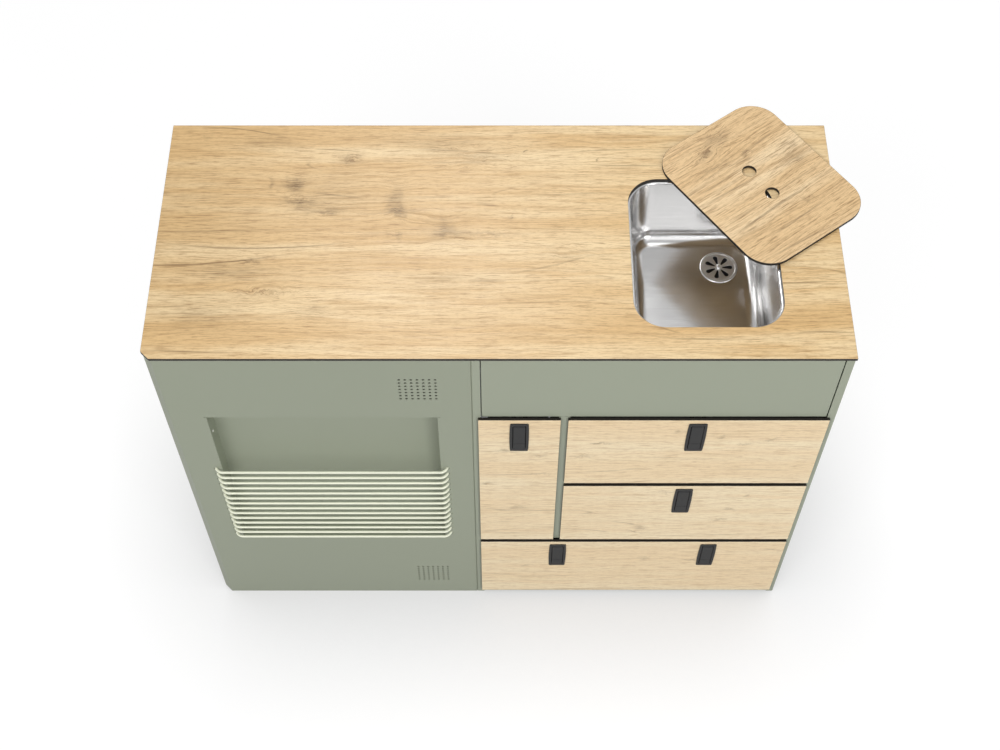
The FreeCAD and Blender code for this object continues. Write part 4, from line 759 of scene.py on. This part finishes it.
def makePaddles():
    half = latch["paddle"][0] / 2
    hingeY, hingeZ = latch["hinge"]
    foot = hingeZ + latch["barrel"] - latch["paddle"][1]
    low, high = latch["paddleStand"] - latch["paddleThickness"], latch["paddleStand"]
    seam, groove, inner = foot + latch["seam"], latch["groove"] / 2, latch["grooveCorner"]
    corner = latch["paddleCorner"]
    upper = roundedRing([(half, seam + groove, inner), (half, hingeZ, corner),
                         (-half, hingeZ, corner), (-half, seam + groove, inner)], 3)
    radius = latch["footRadius"]  # the lower edge is a shallow curve
    turns = [(-1 + i / 6) * math.asin(half / radius) for i in range(13)]
    lower = [(radius * math.sin(t), foot + radius - radius * math.cos(t)) for t in turns]
    lower += [(half, seam - groove), (-half, seam - groove)]
    side, reach, deep = latch["grooveFloor"]
    joint = boxRing(-half + side, half - side, seam - reach, seam + reach)
    barrel, edge = latch["barrel"], latch["barrelEdge"]
    profile = [(0, -half), (barrel - edge, -half), (barrel, -half + edge), (barrel, half - edge),
               (barrel - edge, half), (0, half)]
    width, length, thick = latch["arm"]
    for front in fronts.values():
        for name, x in front["latches"].items():
            shape = bmesh.new()
            place = frontPlane(x, latch["face"], front["latchZ"])
            addPlate(shape, [upper], low, high, corner, 3, place)
            addPlate(shape, [lower], low, high, 0.5, 3, place)
            addPlate(shape, [joint], low, high - deep, 0, 1, place)
            along = Matrix.Translation((x, latch["face"] + hingeY, front["latchZ"] + hingeZ))
            addLathe(shape, profile, 40, along @ Matrix.Rotation(math.pi / 2, 4, "Y"))
            addBlock(shape, (-width / 2, width / 2), (0, length), (-thick / 2, thick / 2), 0.4, along)
            finishPiece(name + "PaddlePlate", shape, [latchPlastic], name + "_paddle",
                        [name + "_latch_paddle"])


makeHousings()
makePaddles()
print("latches made")


# left cover and the rack

cover = {
    "right": -47, "return": 15, "bend": 2.5, "chamfer": 15, "opening": (-521, -109, 268, 748),
    "relief": (5, 1.5), "airGap": 0.02, "tuck": (1, 6), "notch": (-70, 3, 4, 2), "cut": (245, 255),
    "ventCount": 7, "ventPitch": 10.4, "ventRadius": 2.5, "vents": ((-171.2, 811.8), (-171.2, 60.8)),
    # sizes of the black pads behind the vents, which are painted shade
    "paintedShadeBlack": {"rim": 6, "gap": 0.1, "thickness": 1, "corner": 2},
}
rods = {
    "count": 14, "pitch": 20.85, "first": 288, "radius": 2.5, "bend": 15, "ends": (-534, -96),
    "y": -259, "holeRadius": 3.3,
}


def stepAside(point, start, end, distance):
    ahead = (Vector(end) - Vector(start)).normalized()
    return tuple(Vector(point) + Vector((-ahead.y, ahead.x)) * distance)


def foldedRing(path, gauge, bend):
    # the sheet's section: the outside line with rounded bends, and the same line moved in
    outer, inner = [path[0]], [stepAside(path[0], path[0], path[1], gauge)]
    for before, here, after in zip(path, path[1:], path[2:]):
        centre, first, last = cornerArc(before, here, after, bend)
        outer += arcPoints(centre, bend, first, last, 6)
        inner += arcPoints(centre, bend - gauge, first, last, 6)
    outer.append(path[-1])
    inner.append(stepAside(path[-1], path[-2], path[-1], gauge))
    return outer + list(reversed(inner))


def makeCover():
    shape = bmesh.new()
    left, front, back = unit["left"], unit["front"], unit["back"]
    right, chamfer, inner = cover["right"], cover["chamfer"], cover["return"]
    # anticlockwise seen from above, so that the sheet's inside lies on the left
    path = [(left + inner, back), (left, back), (left, front + chamfer), (left + chamfer, front),
            (right, front), (right, front + inner)]
    addPlate(shape, [foldedRing(path, unit["gauge"], cover["bend"])], 0, sheetTop, 0.2, 1)
    gauge = unit["gauge"] + cover["airGap"]
    near, far = (chamfer + tuck for tuck in cover["tuck"])
    ring = [(left + gauge, back - gauge), (left + gauge, front + near), (left + near, front + gauge),
            (right - gauge, front + gauge), (right - gauge, front + inner), (left + far, front + inner),
            (left + inner, front + far), (left + inner, back - gauge)]
    addPlate(shape, [ring], sheetTop - unit["gauge"], sheetTop - cover["airGap"], 0, 1)
    # the left cover takes the darker sage copy, which is painted shade
    piece = finishPiece("leftCoverSheet", shape, [sageShadedCopy], "root", ["left_cover"])
    cutter = bmesh.new()
    x0, x1, z0, z1 = cover["opening"]
    reach, slit = cover["relief"]
    window = [(x0 - reach, z0), (x1 + reach, z0), (x1 + reach, z0 + slit), (x1, z0 + slit),
              (x1, z1 - slit), (x1 + reach, z1 - slit), (x1 + reach, z1), (x0 - reach, z1),
              (x0 - reach, z1 - slit), (x0, z1 - slit), (x0, z0 + slit), (x0 - reach, z0 + slit)]
    punch(cutter, window, cover["cut"])
    for i in range(rods["count"]):
        z = rods["first"] + rods["pitch"] * i
        for x in rods["ends"]:
            punch(cutter, circleRing(x, z, rods["holeRadius"], 16), cover["cut"])
    pitch, count, shadePadLook = cover["ventPitch"], cover["ventCount"], cover["paintedShadeBlack"]
    for x, z in cover["vents"]:
        for i in range(count):
            for k in range(count):
                vent = circleRing(x + pitch * i, z + pitch * k, cover["ventRadius"], 20)
                punch(cutter, vent, cover["cut"])
    x, wide, deep, above = cover["notch"]
    punch(cutter, boxRing(x, x + wide, sheetTop - deep, sheetTop + above), cover["cut"])
    cutAway(piece, cutter)
    # black pads behind the two vent grids, painted shade seen through the holes
    rim = shadePadLook["rim"]
    span = pitch * (count - 1) + rim * 2
    for x, z in cover["vents"]:
        shape = bmesh.new()
        place = frontPlane(x - rim, front + unit["gauge"] + shadePadLook["gap"], z - rim)
        pad = boxRing(0, span, 0, span, shadePadLook["corner"], 3)
        addPlate(shape, [pad], -shadePadLook["thickness"], 0, 0.2, 1, place)
        finishPiece("ventShadePad" + str(round(z)), shape, [paintedShadeBlack], "root", ())


def makeRods():
    shape = bmesh.new()
    bend, y = rods["bend"], rods["y"] + rods["bend"]
    x0, x1 = rods["ends"]
    path = arcPoints((x0 + bend, y), bend, math.pi, math.pi * 1.5, 10)
    path += arcPoints((x1 - bend, y), bend, math.pi * 1.5, math.tau, 10)
    for i in range(rods["count"]):
        z = rods["first"] + rods["pitch"] * i
        addTube(shape, [(px, py, z) for px, py in path], rods["radius"], 20)
    finishPiece("rackRods", shape, [rodCoat], "root", ["rack_rods"])


# the fascia is one folded sheet: web, four turned-in edges and a deeper strip below
fascia = {
    "x": (-32, 585), "z": (750, sheetTop), "turn": 15, "strip": 31.5, "bend": 1.8, "gap": 1.6,
    "relief": 1.8, "reliefZ": 759, "cut": (220, 252), "slot": (6.5, -244, -238.2), "slotZ": (-1, 3),
    # the black strips in the two side gaps are painted shade
    "gapShade": (2.5, 5), "gapShadeAir": 0.15,
}


def makeFascia():
    (x0, x1), (z0, z1), gauge, gap = fascia["x"], fascia["z"], unit["gauge"], fascia["gap"]
    ring = boxRing(x0 + gap, x1 - gap, z0, z1)
    bend, depth, front = fascia["bend"], fascia["turn"], unit["front"]
    outside = [(0, -depth)] + [(bend * up, -bend * across) for across, up in quarterTurn(5)]
    inside = [(gauge, -depth), (gauge, -bend), (bend, -gauge)]
    shape = bmesh.new()
    shells = []
    for levels in (outside, inside):
        loops = [addLoop(shape, offsetRing(ring, inset), height, frontPlane(0, front, 0))
                 for inset, height in levels]
        addBands(shape, loops)
        addCap(shape, [loops[-1]])
        shells.append(loops[0])
    addBand(shape, *shells)
    piece = finishPiece("fasciaSheet", shape, [sage], "root", ["fascia"])
    cutter = bmesh.new()
    for x in (x0 + gap, x1 - gap):
        punch(cutter, circleRing(x, fascia["reliefZ"], fascia["relief"], 20), fascia["cut"])
    half, low, high = fascia["slot"]
    foot, head = (z0 + height for height in fascia["slotZ"])
    for row in ("narrow", "top"):
        x = fronts[row]["latches"][row]
        addPlate(cutter, [boxRing(x - half, x + half, low, high)], foot, head, 0, 1)
    cutAway(piece, cutter)
    shape = bmesh.new()
    strip = boxRing(x0 + gap, x1 - gap, front + depth, front + fascia["strip"])
    addPlate(shape, [strip], z0, z0 + gauge, 0.2, 1)
    finishPiece("fasciaStrip", shape, [sage], "root", ["fascia_flanges"])
    # black strips in the two side gaps as painted shade, so that the gaps read dark
    shape = bmesh.new()
    near, far = (front + deep for deep in fascia["gapShade"])
    half = gap / 2 - fascia["gapShadeAir"]
    for middle in (x0 + gap / 2, x1 - gap / 2):
        addPlate(shape, [boxRing(middle - half, middle + half, near, far)], z0, z1, 0, 1)
    finishPiece("fasciaGapShade", shape, [paintedShadeBlack], "root", ())


rivets = {
    "heightShares": (0.12, 0.483, 0.858), "widthShares": (0.061, 0.816), "radius": 3, "head": 1.2,
    "domeShares": ((0, 1), (0.45, 0.94), (0.78, 0.7), (0.95, 0.35), (1, 0), (0, 0)), "depth": -237,
}


def makeRivets():
    shape = bmesh.new()
    x0, x1, z0, z1 = cover["opening"]
    radius, head, depth = rivets["radius"], rivets["head"], rivets["depth"]
    dome = [(radius * across, head * up) for across, up in rivets["domeShares"]]
    places = []
    for share in rivets["heightShares"]:
        places += [(x, z0 + (z1 - z0) * share, turn, "Y") for x, turn in ((x0, 0.5), (x1, -0.5))]
    for share in rivets["widthShares"]:
        places += [(x0 + (x1 - x0) * share, z, turn, "X") for z, turn in ((z0, 0), (z1, 1))]
    for x, z, turn, axis in places:
        turned = Matrix.Rotation(math.pi * turn, 4, axis)
        addLathe(shape, dome, 20, Matrix.Translation((x, depth, z)) @ turned)
    finishPiece("trayRivetHeads", shape, [rivetMetal], "root", ["tray_rivets"])


makeCover()
makeRods()
makeFascia()
makeRivets()
print("left cover and rack made")


# sink, waste and strainer

bowl = {
    "half": (124, 155.25), "corner": 50, "floor": 794, "round": 28, "draft": 6, "lip": 3,
    "gauge": 1, "flangeHalf": (143, 174.25), "flangeCorner": 69, "steps": 16,
}
drain = {
    "x": 408, "y": 46, "ring": 35, "ringHeight": 2, "seat": 30, "cup": 27.5, "wall": 3, "foot": 746,
    "gap": 0.3, "spigotZ": 761.5, "spigot": 12.5, "spigotWall": 2.5, "spigotEnd": 121.5,
    "barbs": 4, "barbPitch": 6, "shoulder": (15, 80.5), "nut": 38, "nutZ": (783, 793),
    "nutGrips": 8, "nutDip": 2.4,
}
strainer = {
    "radius": 29.7, "thickness": 1.2, "slots": 7, "inner": 8.5, "outer": 21.5, "tip": 1.6, "end": 4.2,
    "knob": 4, "knobHeight": 6,
}


def sinkRing(halves, corner):
    (halfX, halfY), x, y = halves, sink["x"], sink["y"]
    return boxRing(x - halfX, x + halfX, y - halfY, y + halfY, corner, bowl["steps"])


def bowlLoops(shape, levels):
    halfX, halfY = bowl["half"]
    return [addLoop(shape, sinkRing((halfX - inset, halfY - inset), bowl["corner"] - inset), z, Matrix())
            for inset, z in levels]


def makeBowl():
    shape = bmesh.new()
    floor, turn, draft, lip, gauge = (bowl[key] for key in ("floor", "round", "draft", "lip", "gauge"))
    wide = turn + gauge
    inside = [(draft + turn * across, floor + turn * up) for across, up in quarterTurn(10)]
    inside += [(-lip * up, sheetTop - lip * across) for across, up in quarterTurn(5)]
    outside = [(draft - gauge + wide * across, floor - gauge + wide * up) for across, up in quarterTurn(8)]
    outside.append((-gauge, sheetTop - gauge))
    inner, outer = bowlLoops(shape, inside), bowlLoops(shape, outside)
    addBands(shape, inner)
    addBands(shape, outer)
    edge = sinkRing(bowl["flangeHalf"], bowl["flangeCorner"])
    flange = [addLoop(shape, edge, z, Matrix()) for z in (sheetTop, sheetTop - gauge)]
    addBands(shape, [inner[-1], *flange, outer[-1]])
    ring = circleRing(drain["x"], drain["y"], drain["cup"] + drain["wall"] + drain["gap"], 48)
    top, foot = (addLoop(shape, ring, z, Matrix()) for z in (floor, floor - gauge))
    addBand(shape, foot, top)
    addCap(shape, [inner[0], top])
    addCap(shape, [outer[0], foot])
    finishPiece("sinkBowlShell", shape, [sinkSteel], "root", ["sink_bowl"])


def makeDrain():
    x, y, floor, foot = drain["x"], drain["y"], bowl["floor"], drain["foot"]
    place = Matrix.Translation((x, y, 0))
    ring, height, seat = drain["ring"], drain["ringHeight"], drain["seat"]
    cup, wall = drain["cup"], drain["wall"]
    flange = [(ring, floor), (ring, floor + 0.7), (ring - 0.5, floor + 1.5), (ring - 1.6, floor + height),
              (seat + 1.2, floor + height), (seat + 0.3, floor + height - 0.4), (seat, floor + 1),
              (seat, floor), (cup, floor), (cup, floor - 1), (cup + wall, floor - 1), (cup + wall, floor)]
    shape = bmesh.new()
    addLathe(shape, flange, 64, place, closed=True)
    finishPiece("drainRing", shape, [drainSteel], "root", ["drain_body"])
    shape = bmesh.new()
    inner = cup - 0.4
    body = [(0, foot), (cup + wall - 2, foot), (cup + wall, foot + 2), (cup + wall, floor - 1.2),
            (inner, floor - 1.2), (inner, foot + wall + 2), (inner - 2, foot + wall), (0, foot + wall)]
    addLathe(shape, body, 48, place)
    outer, bore = drain["spigot"], drain["spigot"] - drain["spigotWall"]
    start, end, pitch = cup + wall - 4, drain["spigotEnd"] - y, drain["barbPitch"]
    barbs = [(bore, end), (outer - 1.2, end)]
    for i in range(drain["barbs"]):
        step = end - pitch * i
        barbs += [(outer, step - 3.2), (outer - 0.9, step - 3.6), (outer - 0.9, step - pitch)]
    wide, stop = drain["shoulder"][0], drain["shoulder"][1] - y
    barbs += [(outer, end - pitch * drain["barbs"] - 2), (outer, stop), (wide - 0.5, stop),
              (wide, stop - 0.5), (wide, start), (bore, start)]
    along = Matrix.Translation((x, y, drain["spigotZ"])) @ Matrix.Rotation(-math.pi / 2, 4, "X")
    addLathe(shape, barbs, 32, along, closed=True)
    # the cup takes the dark grey that is painted shade under the strainer
    finishPiece("drainCup", shape, [wastePlasticPaintedShade], "root", ["drain_body"])
    shape = bmesh.new()
    outline = []
    for i in range(96):
        a = math.tau * i / 96
        radius = drain["nut"] - max(0, math.cos(a * drain["nutGrips"])) ** 3 * drain["nutDip"]
        outline.append((x + radius * math.cos(a), y + radius * math.sin(a)))
    thread = circleRing(x, y, cup + wall + drain["gap"], 48)
    addPlate(shape, [outline, hole(thread)], *drain["nutZ"], 0.8, 3)
    finishPiece("drainNut", shape, [wastePlasticPaintedShade], "root", ["drain_nut"])


def makeStrainer():
    shape = bmesh.new()
    place = Matrix.Translation((drain["x"], drain["y"], bowl["floor"]))
    inner, outer, tip, end = (strainer[key] for key in ("inner", "outer", "tip", "end"))
    lean = math.pi - math.acos((end - tip) / (outer - inner))
    slot = arcPoints((outer, 0), end, -lean, lean, 14) + arcPoints((inner, 0), tip, lean, math.tau - lean, 6)
    rings = [circleRing(0, 0, strainer["radius"], 72)]
    for i in range(strainer["slots"]):
        turn = Matrix.Rotation(math.tau * i / strainer["slots"], 2)
        rings.append(hole([tuple(turn @ Vector(point)) for point in slot]))
    addPlate(shape, rings, 0, strainer["thickness"], 0.35, 2, place)
    r, low, high = strainer["knob"], strainer["thickness"], strainer["thickness"] + strainer["knobHeight"]
    knob = [(0, low - 0.3), (r * 0.75, low - 0.3), (r * 0.7, low + 0.6), (r * 0.72, high - 3),
            (r, high - 2), (r, high - 0.8), (r * 0.8, high - 0.15), (0, high)]
    addLathe(shape, knob, 32, place)
    finishPiece("strainerDisc", shape, [drainSteel], "strainer", ["drain_strainer"])


makeBowl()
makeDrain()
makeStrainer()
print("sink made")


# finishes of the CAD parts that stay, with their edges eased

eased = {"weld": 0.01, "width": 0.3, "steps": 2, "angle": 40}
kept = dict.fromkeys(["inner_side_panel", "right_side_panel", "right_base", "upper_rail", "lower_rail",
                      "divider", "rear_top_rails", "rear_middle_rail", "rear_bottom_rails"], sage)
# the left base and the recess tray take the darker sage copy, which is painted shade
kept |= dict.fromkeys(["left_base", "recess_tray"], sageShadedCopy)
kept |= dict.fromkeys(["latch_keepers", "runner_brackets", "fixed_runners", "sink_clips"], brightSteel)
for row, front in fronts.items():
    kept[row + "_tray"] = trayGrey
    for ending in ("_drawer_runners", "_middle_runners", "_latch_pin"):
        kept[row + ending] = brightSteel
    for name in front["latches"]:
        kept[name + "_latch_bolt"] = brightSteel
for name, material in kept.items():
    node = nodes[name]
    if not node.material_slots:
        node.data.materials.append(material)
    for slot in node.material_slots:
        slot.material = material
    weld = node.modifiers.new("joinSeams", "WELD")
    weld.merge_threshold = eased["weld"] * mm
    ease = node.modifiers.new("easedEdges", "BEVEL")
    ease.width = eased["width"] * mm
    ease.segments = eased["steps"]
    ease.limit_method = "ANGLE"
    ease.angle_limit = math.radians(eased["angle"])
    ease.harden_normals = True
print("CAD parts finished")


# floor, light and camera, with sizes in metres

# the floor is white and keeps the object's diffuse shadow; its glow, seen by the camera, is dimmed near the
# object by ambient occlusion, which is a painted shadow
floorLook = {
    "size": 60, "drop": 0.0005, "glow": 0.7, "reach": 0.35, "open": 0.68, "closed": 0.41,
    "bounce": (0.5, 0.5, 0.5, 1), "roughness": 0.9,
}
white = (1, 1, 1, 1)


def makeFloor():
    half, drop = floorLook["size"] / 2, -floorLook["drop"]
    corners = [(-half, -half, drop), (half, -half, drop), (half, half, drop), (-half, half, drop)]
    mesh = bpy.data.meshes.new("floor")
    mesh.from_pydata(corners, [], [(0, 1, 2, 3)])
    floor = addObject("floor", mesh)
    material, tree, shader = newMaterial("paleFloor")
    feed(tree, shader, {"Base Color": floorLook["bounce"], "Roughness": floorLook["roughness"]})
    matt = addNode(tree, "BsdfDiffuse", {"Color": white})
    # ambient occlusion lowers the glow close to the object, a painted shadow
    near = addNode(tree, "AmbientOcclusion", {"Distance": floorLook["reach"]}).outputs["AO"]
    level = sums(tree, "MULTIPLY_ADD", near, floorLook["open"], floorLook["closed"])
    glow = addNode(tree, "Emission", {"Color": white, "Strength": level})
    path = addNode(tree, "LightPath").outputs
    seen = sums(tree, "MAXIMUM", sums(tree, "MAXIMUM", path["Is Camera Ray"], path["Is Glossy Ray"]),
                path["Is Transmission Ray"])
    bright = addNode(tree, "MixShader", {0: floorLook["glow"], 1: matt.outputs[0], 2: glow.outputs[0]})
    mix = addNode(tree, "MixShader", {0: seen, 1: shader.outputs[0], 2: bright.outputs[0]})
    tree.links.new(mix.outputs[0], tree.nodes["Material Output"].inputs["Surface"])
    mesh.materials.append(material)


# lamps point at the aim
lamps = {
    "key": {"place": (-2.2, -4.0, 5.0), "size": (2.6, 2.2), "power": 105},
    "fill": {"place": (2.4, -4.6, 2.7), "size": (2.2, 2.0), "power": 86},
    "front": {"place": (1.6, -4.4, 5.2), "size": (3.6, 2.4), "power": 18},
    "back": {"place": (-0.25, 1.65, 3.5), "size": (0.9, 0.9), "power": 21},
    "top": {"place": (0.6, 0.1, 3.9), "size": (1.4, 1.0), "power": 5},
}
aim = Vector((0, 0, 0.6))
sky = {"strength": 0.6, "span": (-0.2, 1), "greys": [
    (0, (0.55, 0.55, 0.56)), (0.5, (0.78, 0.78, 0.79)), (1, (0.95, 0.95, 0.95))]}


def makeLight():
    world = bpy.data.worlds.new("softRoom")
    bpy.context.scene.world = world
    world.use_nodes = True
    tree = world.node_tree
    ground = tree.nodes["Background"]
    height = addNode(tree, "SeparateXYZ", {0: addNode(tree, "TexCoord").outputs["Generated"]}).outputs[2]
    tone = ramp(tree, spread(tree, height, *sky["span"]), sky["greys"])
    path = addNode(tree, "LightPath").outputs
    seen = sums(tree, "MAXIMUM", path["Is Camera Ray"], path["Is Transmission Ray"])
    plain = addNode(tree, "Background", {"Color": white, "Strength": 1})
    feed(tree, ground, {"Color": tone, "Strength": sky["strength"]})
    mix = addNode(tree, "MixShader", {0: seen, 1: ground.outputs[0], 2: plain.outputs[0]})
    tree.links.new(mix.outputs[0], tree.nodes["World Output"].inputs["Surface"])
    for name, lamp in lamps.items():
        light = bpy.data.lights.new(name, "AREA")
        light.shape = "RECTANGLE"
        light.size, light.size_y = lamp["size"]
        light.energy = lamp["power"]
        holder = addObject(name, light)
        holder.location = lamp["place"]
        holder.rotation_euler = (aim - holder.location).to_track_quat("-Z", "Y").to_euler()


view = {"place": (0.0023, -1.6394, 3.1069), "tilt": 32.08, "lens": 55.32, "sensor": 36, "far": 100}


def makeCamera():
    camera = bpy.data.cameras.new("camera")
    camera.lens = view["lens"]
    camera.sensor_width = view["sensor"]
    camera.clip_end = view["far"]
    holder = addObject("camera", camera)
    holder.location = view["place"]
    holder.rotation_euler = (math.radians(view["tilt"]), 0, 0)
    bpy.context.scene.camera = holder


makeFloor()
makeLight()
makeCamera()
bpy.context.scene.view_settings.view_transform = "Standard"
print("scene ready")
